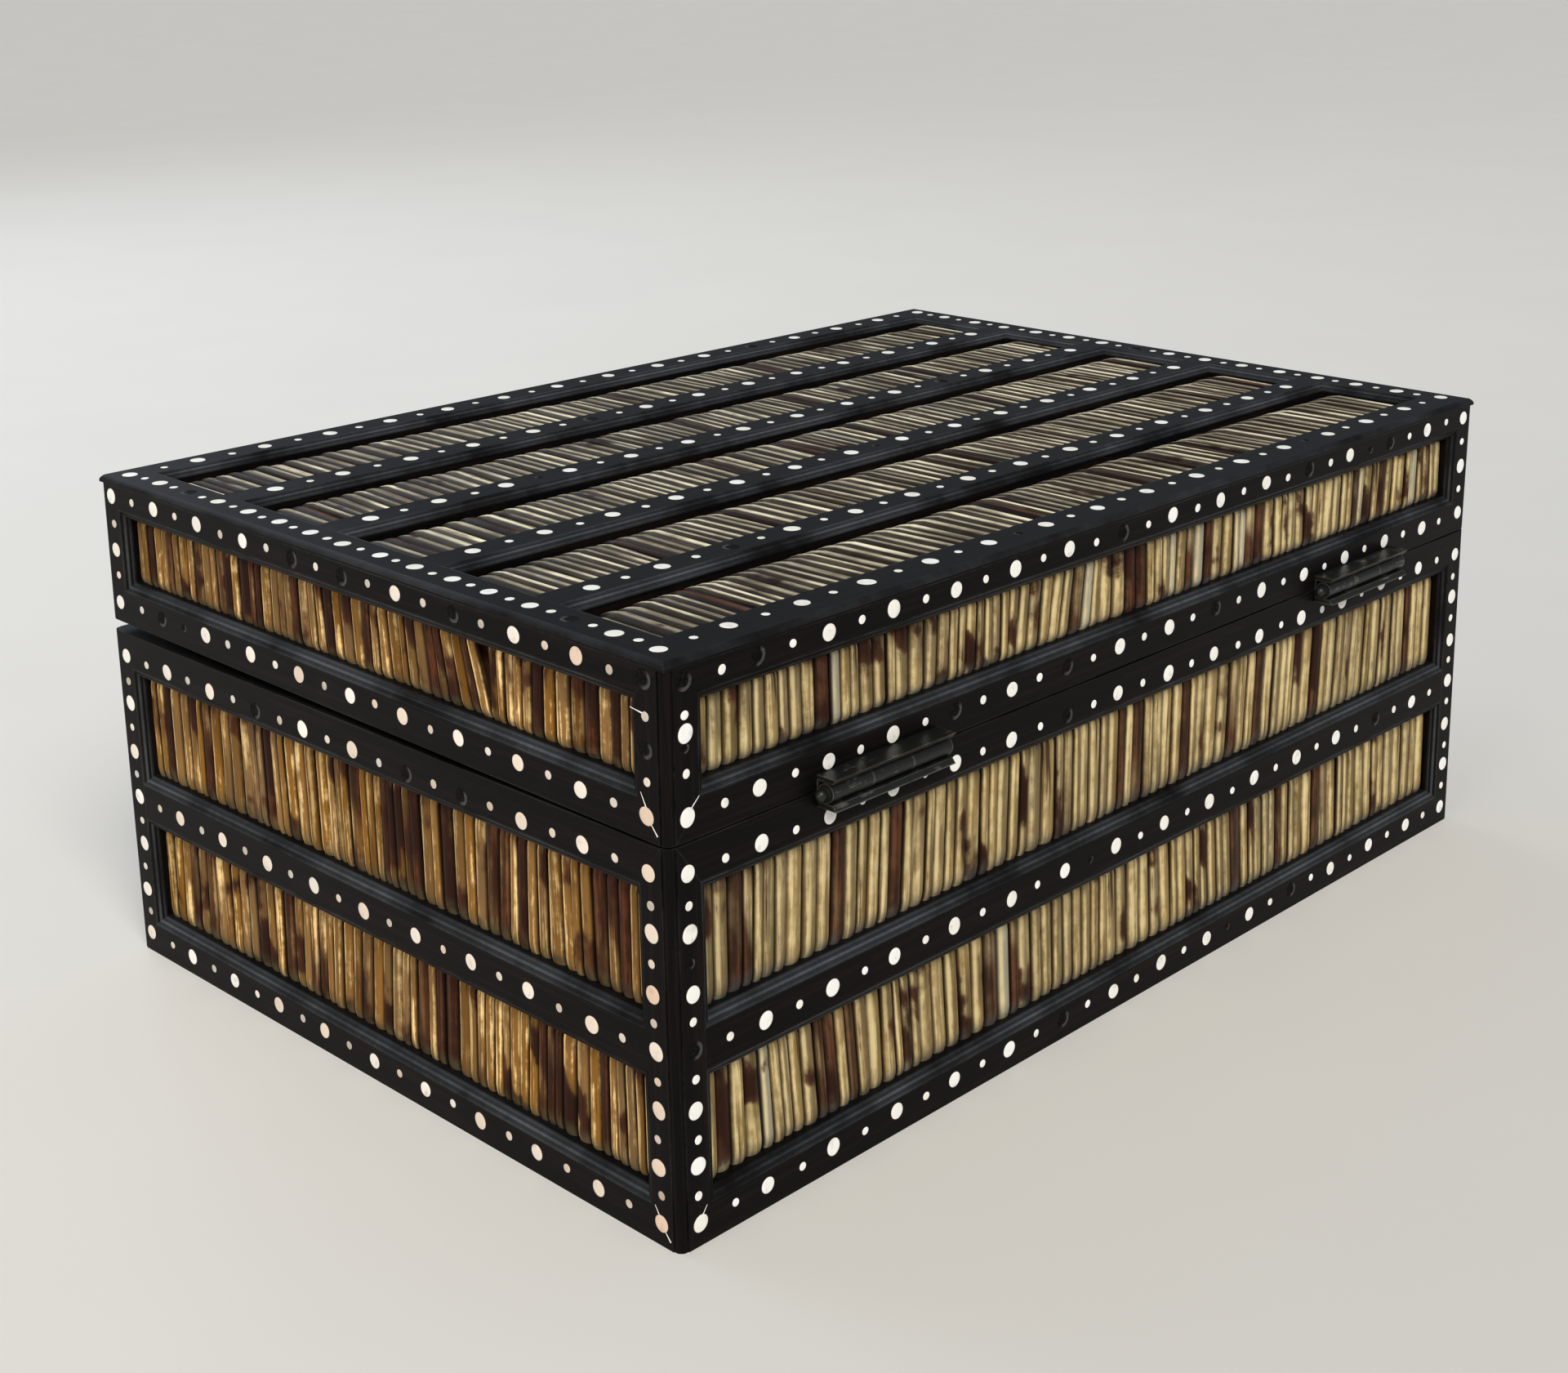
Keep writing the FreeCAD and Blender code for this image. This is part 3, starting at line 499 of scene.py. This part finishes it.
ebonyAcross = ebony("ebonyGrainX", (0.03, 1, 1))
ebonyDeep = ebony("ebonyGrainY", (1, 0.03, 1))
ebonyUp = ebony("ebonyGrainZ", (1, 1, 0.03))
inlay, emptied, brass = bone(), socketDirtAndLight(), agedBrass()
boardAcross = boardWood("boardGrainX", (0.12, 1, 1))
boardDeep = boardWood("boardGrainY", (1, 0.12, 1))
horn = {kind: quillHorn(kind) for kind in ("side", "end", "top")}


def dressFrame():
    for name, piece in frame["nodes"].items():
        atEnd = "left" in name or "right" in name
        if "hinge" in name:
            coat = brass
        elif name.endswith("_board"):
            coat = boardDeep if atEnd else boardAcross
        elif "stiles" in name or "beads" in name:
            coat = ebonyUp
        else:
            coat = ebonyDeep if atEnd else ebonyAcross
        piece.data.materials.clear()
        piece.data.materials.append(coat)


dressFrame()
print("finishes ready")


panel = {"fit": 0.15 * mm, "bars": 4, "barWidth": 11.8 * mm}


def sideOpenings(face, part):
    # how far out the quills' crowns are, and each opening as row, along from and to, up from and to
    start, first, outward = [faces[face][k] for k in (0, 1, 3)]
    low, high = shutBox("%s_%s_quills" % (part, face))
    reach = sorted((corner - start).dot(first) for corner in (low, high))
    crown = max((corner - start).dot(outward) for corner in (low, high))
    begin, end = reach[0] - panel["fit"], reach[1] + panel["fit"]
    foot, head = low.z - panel["fit"], high.z + panel["fit"]
    if part == "lid":
        return crown, [("lid", begin, end, foot, head)]
    below, above = shutBox("base_%s_middle_rail" % face)
    return crown, [("lower", begin, end, foot, below.z), ("upper", begin, end, above.z, head)]


def barEdges():  # the edge of each of the lid's bars that is nearer to the front, from there
    low, high = shutBox("lid_top_bars")
    pitch = (high.y - low.y - panel["barWidth"]) / (panel["bars"] - 1)
    return [low.y + number * pitch + halfDepth for number in range(panel["bars"])]


def topOpenings():  # the same as sideOpenings, for the strips of the lid
    low, high = shutBox("lid_top_quills")
    begin, end = low.x - panel["fit"] + halfLength, high.x + panel["fit"] + halfLength
    edges = [low.y - panel["fit"] + halfDepth]
    for edge in barEdges():
        edges += [edge, edge + panel["barWidth"]]
    edges.append(high.y + panel["fit"] + halfDepth)
    rows = range(panel["bars"] + 1)
    return high.z - height, [(row, begin, end, *edges[2 * row:2 * row + 2]) for row in rows]


quill = {
    "segments": 9, "steps": (0, 0.04, 0.10, 0.16, 0.24, 0.5, 0.74, 0.90, 0.96, 1),
    "spread": 0.34, "taper": 0.08, "round": 0.80, "overlap": 1.02, "bow": 0.25 * mm,
    "lean": 1.0 * mm, "leanEvery": 8, "upright": 3,  # counted in quills
    "bleach": (0.3, 0.75), "fading": (0, 0.10), "thin": 0.12,
    "sink": 0.35 * mm, "tuck": 0.55 * mm, "tuckShare": 0.10,
    "dip": 1.8 * mm, "dipShare": 0.24,  # at the front ends of the lid's quills
    "slip": 4.6 * mm, "slipped": 11}
panelQuills = {  # mean width in mm, share of bleached quills, seed, and where one has slipped
    "back": {"lid": (3.55, 0.10, 11), "upper": (3.75, 0.04, 12), "lower": (3.75, 0.03, 13)},
    "front": {"lid": (3.55, 0.05, 21), "upper": (3.75, 0.04, 22), "lower": (3.75, 0.03, 23)},
    "right": {"lid": (3.3, 0.0, 31, 151 * mm), "upper": (3.45, 0.0, 32), "lower": (3.45, 0.0, 33)},
    "left": {"lid": (3.3, 0.02, 41), "upper": (3.45, 0.02, 42), "lower": (3.45, 0.02, 43)},
    "top": {0: (3.9, 0.02, 60), 1: (3.6, 0.02, 61), 2: (3.6, 0.02, 62), 3: (3.6, 0.02, 63),
            4: (3.9, 0.02, 64)}}


def sharedOut(widths, length):  # the edges of pieces side by side that fill the length
    edges = [0.0]
    for width in widths:
        edges.append(edges[-1] + width)
    return [edge / edges[-1] * length for edge in edges]


class QuillRow:
    # one row of quills side by side between the mouldings
    def __init__(self, face, opening, crown, pitch, bleached, seed, slip=None):
        self.face, self.crown, self.bleached = face, crown, bleached
        self.begin, self.end, self.foot, self.head = opening
        self.dice = dice = random.Random(seed)
        length = self.end - self.begin
        self.count = count = round(length / (pitch * mm))
        spread, taper = quill["spread"], quill["taper"]
        widths = [1 + dice.uniform(-spread, spread) for number in range(count)]
        self.edges = [sharedOut([w * (1 + dice.uniform(-taper, taper)) for w in widths], length)
                      for end in ("foot", "head")]
        self.sway = [dice.uniform(-1, 1) for number in range(count // quill["leanEvery"] + 3)]
        self.loose = None
        if slip:
            self.loose = min(range(count), key=lambda k: abs(self.edges[0][k] + self.begin - slip))

    def slide(self, number, edge):  # a few quills have slipped over and left a gap behind them
        if self.loose is None or number >= self.loose:
            return 0.0
        return -quill["slip"] * max(0.0, 1 - (self.loose - edge) / quill["slipped"]) ** 1.1

    def lean(self, number):  # how far the head of an edge stands beyond its foot
        place = number / quill["leanEvery"]
        near, part = int(place), place - int(place)
        easy = part * part * (3 - 2 * part)
        held = min(1, number / quill["upright"], (self.count - number) / quill["upright"])
        return quill["lean"] * held * (self.sway[near] * (1 - easy) + self.sway[near + 1] * easy)

    def sunken(self, v):  # how far a quill goes in at v, from its foot at 0 to its head at 1
        deep = quill["tuck"] * max(0.0, 1 - min(v, 1 - v) / quill["tuckShare"]) ** 2
        if self.face == "top":
            deep += quill["dip"] * max(0.0, 1 - v / quill["dipShare"]) ** 1.4
        return deep

    def lay(self, shape):
        spots, polygons, tones = shape
        dice, segments, steps = self.dice, quill["segments"], quill["steps"]
        across = segments + 1
        for number in range(self.count):
            chance = dice.random()
            crest = self.crown - dice.random() ** 2 * quill["sink"]
            bleach = quill["bleach" if dice.random() < self.bleached else "fading"]
            white = dice.uniform(*bleach)
            bow, thin = dice.uniform(-1, 1) * quill["bow"], dice.uniform(0, quill["thin"])
            first = len(spots)
            for v in steps:
                low, high = [self.edges[0][k] * (1 - v) + self.edges[1][k] * v
                             + self.lean(k) * (v - 0.5) + self.slide(number, k) * v
                             for k in (number, number + 1)]
                half = (high - low) / 2
                for cut in range(across):
                    t = -math.cos(math.pi * cut / segments)
                    bent = bow * math.sin(math.pi * v) * (1 - abs(t))
                    sideways = (low + high) / 2 + half * quill["overlap"] * t + bent
                    drop = half * quill["round"] * (1 - math.sqrt(max(0.0, 1 - t * t)))
                    spots.append(onFace(self.face, self.begin + sideways,
                                        self.foot + v * (self.head - self.foot),
                                        crest - drop - self.sunken(v) - thin * half * v))
                    tones.append((chance, v, (t + 1) / 2, white))
            for step in range(len(steps) - 1):
                for cut in range(segments):
                    a = first + step * across + cut
                    polygons.append((a, a + 1, a + across + 1, a + across))


moulding = {
    "depth": 2.0 * mm, "drop": 0.1 * mm, "radius": 4.0 * mm, "side": 2.5 * mm, "top": 2.0 * mm,
    "dustiness": 0.7,
    "bands": [  # share of the width from the flat, height over the solid round, dust with painted highlight, painted groove shade
        (0.00, 0.00, 0.0, 0.8), (0.06, 0.14, 0.1, 0.2), (0.12, 0.24, 0.7, 0.0),
        (0.18, 0.18, 0.2, 0.2), (0.25, 0.00, 0.0, 1.0), (0.38, 0.00, 0.0, 1.0),
        (0.46, 0.20, 0.0, 0.2), (0.55, 0.25, 0.9, 0.0), (0.66, 0.20, 0.9, 0.0),
        (0.74, 0.02, 0.0, 1.0), (0.82, 0.02, 0.0, 1.0), (0.88, 0.15, 0.5, 0.1),
        (0.96, 0.10, 0.3, 0.1), (1.00, -1.20, 0.0, 0.9)]}


def mouldProfile(width):  # each band as distance from the panel, level, dust with painted highlight, and painted groove shade
    radius, depth, drop = moulding["radius"], moulding["depth"], moulding["drop"]
    fall = depth - drop
    chord = math.hypot(width, fall)
    rise = math.sqrt(radius ** 2 - chord * chord / 4)
    centreOut = width / 2 + fall / chord * rise
    centreLevel = -(drop + depth) / 2 - width / chord * rise
    profile = []
    for share, over, dustAndSheen, groove in moulding["bands"]:
        out = width * (1 - share)
        level = centreLevel + math.sqrt(radius ** 2 - (out - centreOut) ** 2) + over * mm
        profile.append((out, level, dustAndSheen * moulding["dustiness"], groove))
    return profile


def mouldBands(face, openings, shape):
    # the fine bands of the moulding, laid over the round of the solid and mitred at the corners
    spots, polygons, tones = shape
    profile = mouldProfile(moulding["top" if face == "top" else "side"])
    for begin, end, foot, head in openings:
        corners = [(begin, foot, -1, -1), (end, foot, 1, -1), (end, head, 1, 1),
                   (begin, head, -1, 1)]
        for side in range(4):
            first = len(spots)
            for out, level, dustAndSheen, groove in profile:
                for along, up, aside, over in (corners[side], corners[(side + 1) % 4]):
                    spots.append(onFace(face, along + aside * out, up + over * out, level))
                    tones.append((dustAndSheen, groove, 0, 1))
            for k in range(len(profile) - 1):
                a = first + 2 * k
                polygons.append((a, a + 1, a + 3, a + 2))


def fillPanel(face, part):
    crown, openings = topOpenings() if face == "top" else sideOpenings(face, part)
    quills, bands = ([], [], []), ([], [], [])
    for row, *opening in openings:
        QuillRow(face, opening, crown, *panelQuills[face][row]).lay(quills)
    # the end faces take the warmer copy of the quills, partly painted warm light
    kind = {"back": "side", "front": "side", "top": "top"}.get(face, "end")
    addPiece("%sQuills_%s" % (part, face), part, horn[kind], quills,
             replaced=["lid_top_quills" if face == "top" else "%s_%s_quills" % (part, face)])
    mouldBands(face, [opening for row, *opening in openings], bands)
    coat = ebonyDeep if face in ("left", "right") else ebonyAcross
    addPiece("%sMoulding_%s" % (part, face), part, coat, bands, smooth=False)


for face in ("back", "front", "right", "left"):
    fillPanel(face, "base")
    fillPanel(face, "lid")
fillPanel("top", "lid")
print("quills and mouldings laid")


dot = {
    "large": 1.92 * mm, "small": 1.0 * mm, "sides": 22, "spread": 0.06, "wander": 0.35 * mm,
    # the warm keys set the painted warm light on the dots of the end faces
    "oval": 0.05, "warmLightSpread": 0.3, "warmLightStart": 0.3, "warmLightGain": 1.2,
    "largeFrom": 1.4 * mm, "dullLarge": (0, 0.25), "dullSmall": (0.2, 0.9),
    "lit": (-0.9, -0.2),  # the side of a socket that gets the painted highlight, in radians
    # rings as size and level in mm
    "bone": ((1.0, -0.06), (1.0, 0.02), (0.93, 0.045), (0.6, 0.06)), "boneTop": 0.065,
    "socket": ((1.06, 0), (1.0, 0.03), (0.93, 0.02), (0.80, 0.01), (0.45, 0.01)),
    "socketFloor": 0.01,
    "filler": 0.36 * mm, "fillerLevel": 0.03 * mm}


class Inlay:
    # gathers the dots and the empty sockets of one body
    def __init__(self, body):
        self.body = body
        self.bones = ([], [], [])
        self.sockets = ([], [], [])

    def put(self, face, along, up, radius, dice, missing=False, warmLightShare=0.0):
        spots, polygons, tones = self.sockets if missing else self.bones
        rings = dot["socket" if missing else "bone"]
        middle = dot["socketFloor" if missing else "boneTop"] * mm
        along += dice.uniform(-1, 1) * dot["wander"]
        up += dice.uniform(-1, 1) * dot["wander"]
        radius *= 1 + dice.uniform(-dot["spread"], dot["spread"])
        oval, turn = dice.uniform(1 - dot["oval"], 1 + dot["oval"]), dice.uniform(0, math.pi)
        shade = dice.random()
        stray = dice.uniform(-dot["warmLightSpread"], dot["warmLightSpread"])
        dull = dice.uniform(*dot["dullSmall" if radius < dot["largeFrom"] else "dullLarge"])
        lit = dice.uniform(*dot["lit"])
        # painted warm light, and the dullness, only on the end faces
        if warmLightShare > 0:
            warmLit = max(0.0, min(1.0, warmLightShare + stray))
        else:
            warmLit = dull = 0.0
        first, sides = len(spots), dot["sides"]
        for size, rise in rings:
            for side in range(sides):
                angle = 2 * math.pi * side / sides
                x = math.cos(angle) * radius * size * oval
                y = math.sin(angle) * radius * size / oval
                spots.append(onFace(face, along + x * math.cos(turn) - y * math.sin(turn),
                                    up + x * math.sin(turn) + y * math.cos(turn), rise * mm))
                # how far a point of a socket's ring faces the painted light
                litSide = (1 + math.cos(angle + turn - lit)) / 2
                tones.append((litSide if missing else shade, warmLit, min(1.0, size), dull))
        spots.append(onFace(face, along, up, middle))
        tones.append((0.5 if missing else shade, warmLit, 0.0, dull))
        for ring in range(len(rings) - 1):
            for side in range(sides):
                a, b = first + ring * sides + side, first + ring * sides + (side + 1) % sides
                polygons.append((a, b, b + sides, a + sides))
        last, centre = first + (len(rings) - 1) * sides, len(spots) - 1
        for side in range(sides):
            polygons.append((last + side, last + (side + 1) % sides, centre))

    def row(self, face, start, end, larges, gone, seed, warmLightShare=0.0, tips=False):
        # large dots from start to end, both (along, up), with a small one between each two
        dice = random.Random(seed)
        goneLarge, goneSmall = gone
        step = [(end[k] - start[k]) / (larges - 1) for k in (0, 1)]

        def spot(place):
            return [start[k] + step[k] * place for k in (0, 1)]

        for number in range(larges):
            large = spot(number)
            # painted warm light, stronger toward the far end of the face
            warmLit = warmLightShare * (dot["warmLightStart"] + dot["warmLightGain"] * large[0] / (2 * halfDepth))
            self.put(face, *large, dot["large"], dice, number in goneLarge, warmLit)
            if number < larges - 1 or tips:
                self.put(face, *spot(number + 0.5), dot["small"], dice, number in goneSmall, warmLit)
        if tips:
            self.put(face, *spot(-0.5), dot["small"], dice, -1 in goneSmall, warmLightShare)

    def line(self, face, start, end):  # filler pressed into an opened joint
        spots, polygons, tones = self.bones
        along, up = end[0] - start[0], end[1] - start[1]
        half = dot["filler"] / 2 / math.hypot(along, up)
        first = len(spots)
        for (x, y), share in ((start, 0.4), (start, -0.4), (end, -1.0), (end, 1.0)):
            spots.append(onFace(face, x - share * up * half, y + share * along * half,
                                dot["fillerLevel"]))
            tones.append((0.6, 0.0, 0.0, 0.0))
        polygons.append((first, first + 1, first + 2, first + 3))

    def finish(self):
        addPiece(self.body + "Dots", self.body, inlay, self.bones)
        addPiece(self.body + "Sockets", self.body, emptied, self.sockets)


rowUp = {"lidTop": height - 4.5 * mm,
         "lidBottom": shutBox("lid_back_bottom_rail")[0].z + 5.2 * mm,
         "baseTop": shutBox("base_back_top_rail")[1].z - 6.2 * mm,
         "middle": sum(corner.z for corner in shutBox("base_back_middle_rail")) / 2,
         "bottom": 5.1 * mm}
corner = {"long": 5.2 * mm, "end": 5.6 * mm}  # dots from the corners of the box
lost = {  # by face and row, the large and the small dots that have fallen out, from its start
    "back": {"lidTop": ((0, 1, 7, 11, 13), (12,)), "lidBottom": ((4, 6, 9), ()),
             "baseTop": ((6,), ()), "middle": ((12,), (5,)), "bottom": ((6, 11), (9,)),
             "nearStile": ((2,), (0,))},
    "right": {"lidTop": ((4, 5, 7, 10), ()), "lidBottom": ((1,), (1,)), "baseTop": ((3, 6, 7), ())},
    "front": {"lidTop": ((3, 9), ()), "lidBottom": ((6,), (2,)), "baseTop": ((11,), ()),
              "middle": ((), (8,)), "bottom": ((2, 13), ()), "farStile": ((1,), ())},
    "left": {"lidTop": ((2,), ()), "lidBottom": ((8,), ()), "baseTop": ((), (3,)),
             "middle": ((5,), ()), "bottom": ((9,), ())}}
none = ((), ())
lidStile = {  # the dots of the lid's short stiles as share of the way down, size and missing
    "plain": ((0.25, "small", False), (0.5, "large", False), (0.75, "small", False)),
    ("back", "nearStile"): ((0.25, "small", False), (0.38, "large", False), (0.5, "small", True),
                            (0.68, "small", False)),
    ("right", "farStile"): ((0.25, "small", False), (0.5, "large", True), (0.75, "small", False))}
# the end rows get painted warm light
sideRows = {"long": {"larges": 16, "warmLightShare": 0.0}, "end": {"larges": 11, "warmLightShare": 0.35},
            "stileLarges": 5}


def sideDots(base, lid):
    for number, face in enumerate(("back", "right", "front", "left")):
        kind, half = ("long", halfLength) if face in ("back", "front") else ("end", halfDepth)
        near, far = corner[kind], 2 * half - corner[kind]
        larges, warmLightShare = sideRows[kind]["larges"], sideRows[kind]["warmLightShare"]
        seed, gone = 100 * (number + 1), lost[face]
        for order, (owner, row) in enumerate(((lid, "lidTop"), (lid, "lidBottom"),
                                              (base, "baseTop"), (base, "bottom"))):
            up = rowUp[row]
            owner.row(face, (near, up), (far, up), larges, gone.get(row, none), seed + order,
                      warmLightShare)
        pitch, up = (far - near) / (larges - 1), rowUp["middle"]
        base.row(face, (near + pitch, up), (far - pitch, up), larges - 2,
                 gone.get("middle", none), seed + 5, warmLightShare, True)
        for stile, along in (("nearStile", near), ("farStile", far)):
            count = sideRows["stileLarges"]
            drop = (rowUp["baseTop"] - rowUp["bottom"]) / (count + 1)
            base.row(face, (along, rowUp["baseTop"] - drop), (along, rowUp["bottom"] + drop),
                     count, gone.get(stile, none), seed + 7, warmLightShare, True)
            dice = random.Random(seed + 9)
            for share, size, missing in lidStile.get((face, stile), lidStile["plain"]):
                level = rowUp["lidTop"] + (rowUp["lidBottom"] - rowUp["lidTop"]) * share
                lid.put(face, along, level, dot[size], dice, missing, warmLightShare)


topRows = {
    "front": {"in": 6.0 * mm, "gone": ((4,), ())}, "back": {"in": 7.5 * mm, "gone": ((), (3, 9))},
    "inset": 5.0 * mm, "larges": 16,
    "ends": {"in": 6.0 * mm, "larges": 14, "fromFront": 19.1 * mm, "fromBack": 20.6 * mm,
             "gone": (((6,), ()), ((1, 12), ()))},
    "bars": {"inset": 22 * mm, "larges": 14,
             "gone": (((8,), ()), ((3,), (10,)), ((), (6,)), ((11,), ()))}}


def topDots(lid):
    span, deep, inset = 2 * halfLength, 2 * halfDepth, topRows["inset"]
    levels = topRows["front"]["in"], deep - topRows["back"]["in"]
    for number, (row, up) in enumerate(zip(("front", "back"), levels)):
        lid.row("top", (inset, up), (span - inset, up), topRows["larges"], topRows[row]["gone"],
                500 + number)
    ends = topRows["ends"]
    for along, gone, seed in ((ends["in"], ends["gone"][0], 511),
                              (span - ends["in"], ends["gone"][1], 510)):
        lid.row("top", (along, ends["fromFront"]), (along, deep - ends["fromBack"]),
                ends["larges"], gone, seed, 0, True)
    bars = topRows["bars"]
    for number, (edge, gone) in enumerate(zip(barEdges(), bars["gone"])):
        up = edge + panel["barWidth"] / 2
        lid.row("top", (bars["inset"], up), (span - bars["inset"], up), bars["larges"], gone,
                520 + number)


fillers = (  # face, where the dot is, and the ends of the line in mm from there
    ("right", "lidUpper", (-4.2, 0.6), (0.0, 0.1)), ("right", "lidBottom", (-1.8, 4.6), (0.0, 1.2)),
    ("right", "lidBottom", (0.4, -0.6), (2.8, -3.4)), ("back", "lidBottom", (3.2, 3.4), (0.4, 0.8)),
    ("right", "bottom", (-1.8, 3.6), (0.2, 0.4)), ("right", "bottom", (0.4, -0.6), (2.6, -3.2)),
    ("back", "bottom", (2.2, 3.4), (0.0, 0.4)))
rowUp["lidUpper"] = rowUp["lidTop"] * 0.75 + rowUp["lidBottom"] * 0.25


def fillMitres(base, lid):  # at the corner between the back and the right-hand end
    places = {"right": 2 * halfDepth - corner["end"], "back": corner["long"]}
    for face, row, start, end in fillers:
        owner = lid if row.startswith("lid") else base
        owner.line(face, *[(places[face] + x * mm, rowUp[row] + y * mm) for x, y in (start, end)])


baseInlay, lidInlay = Inlay("base"), Inlay("lid")
sideDots(baseInlay, lidInlay)
topDots(lidInlay)
fillMitres(baseInlay, lidInlay)
baseInlay.finish()
lidInlay.finish()
print("bone dots set")


trim = {"screw": 1.55 * mm, "slot": 0.22 * mm, "apart": 12.0 * mm, "proud": 0.03 * mm,
        "below": 0.05 * mm, "inward": 0.1 * mm, "rimCuts": 10,
        "ball": 1.35 * mm, "ballOut": 0.4 * mm, "ballSides": 14, "ballRings": 8}


def screwHead(shape, centre, up, turn):  # a head in two halves, and its slot
    spots, polygons, tones = shape

    def put(x, y, rise, grimeAndShade):
        spots.append(centre + Vector((x * math.cos(turn) - y * math.sin(turn),
                                      x * math.sin(turn) + y * math.cos(turn), up * rise)))
        tones.append((grimeAndShade, 0, 0, 1))

    radius, half, cuts = trim["screw"], trim["slot"], trim["rimCuts"]
    start = math.asin(half / radius)
    for side in (1, -1):
        first = len(spots)
        for k in range(cuts + 1):
            angle = start + (math.pi - 2 * start) * k / cuts
            put(radius * math.cos(angle), side * radius * math.sin(angle), trim["proud"], 0)
        polygons.append(tuple(range(first, first + cuts + 1)))
    # the slot lies only a little lower, so it is painted dark: grime and painted shade
    first, reach = len(spots), radius * math.cos(start)
    for x, y in ((-reach, -half), (reach, -half), (reach, half), (-reach, half)):
        put(x, y, trim["proud"] / 2, 1)
    polygons.append((first, first + 1, first + 2, first + 3))


def pinBall(shape, centre):  # the rounded end of a hinge pin
    spots, polygons, tones = shape
    first, around, rings = len(spots), trim["ballSides"], trim["ballRings"]
    for ring in range(rings + 1):
        slope = math.pi * ring / rings
        for k in range(around):
            angle = 2 * math.pi * k / around
            outward = Vector((math.cos(slope), math.sin(slope) * math.cos(angle),
                              math.sin(slope) * math.sin(angle)))
            spots.append(centre + outward * trim["ball"])
            tones.append((0, 0, 0, 1))
    for ring in range(rings):
        for k in range(around):
            a, b = first + ring * around + k, first + ring * around + (k + 1) % around
            polygons.append((a, a + around, b + around, b))


def trimHinges():
    dice = random.Random(77)
    screws = {"base": ([], [], []), "lid": ([], [], [])}
    balls = [], [], []
    for side in ("right", "left"):
        for body, up in (("base", 1), ("lid", -1)):
            low, high = shutBox("%s_hinge_%s_leaf" % (side, body))
            across, deep = (low.x + high.x) / 2, (low.y + halfDepth) / 2 - trim["inward"]
            for place in (-1, 0, 1):
                centre = Vector((across + place * trim["apart"], deep,
                                 hingeSpot.z - up * trim["below"]))
                screwHead(screws[body], centre, up, dice.uniform(0, math.pi))
        high = shutBox(side + "_hinge_pin")[1]
        pinBall(balls, Vector((high.x + trim["ballOut"], hingeSpot.y, hingeSpot.z)))
    for body in ("base", "lid"):
        addPiece(body + "Screws", body, brass, screws[body], smooth=False)
    addPiece("hingeBalls", "base", brass, balls)


trimHinges()
print("hinges trimmed")
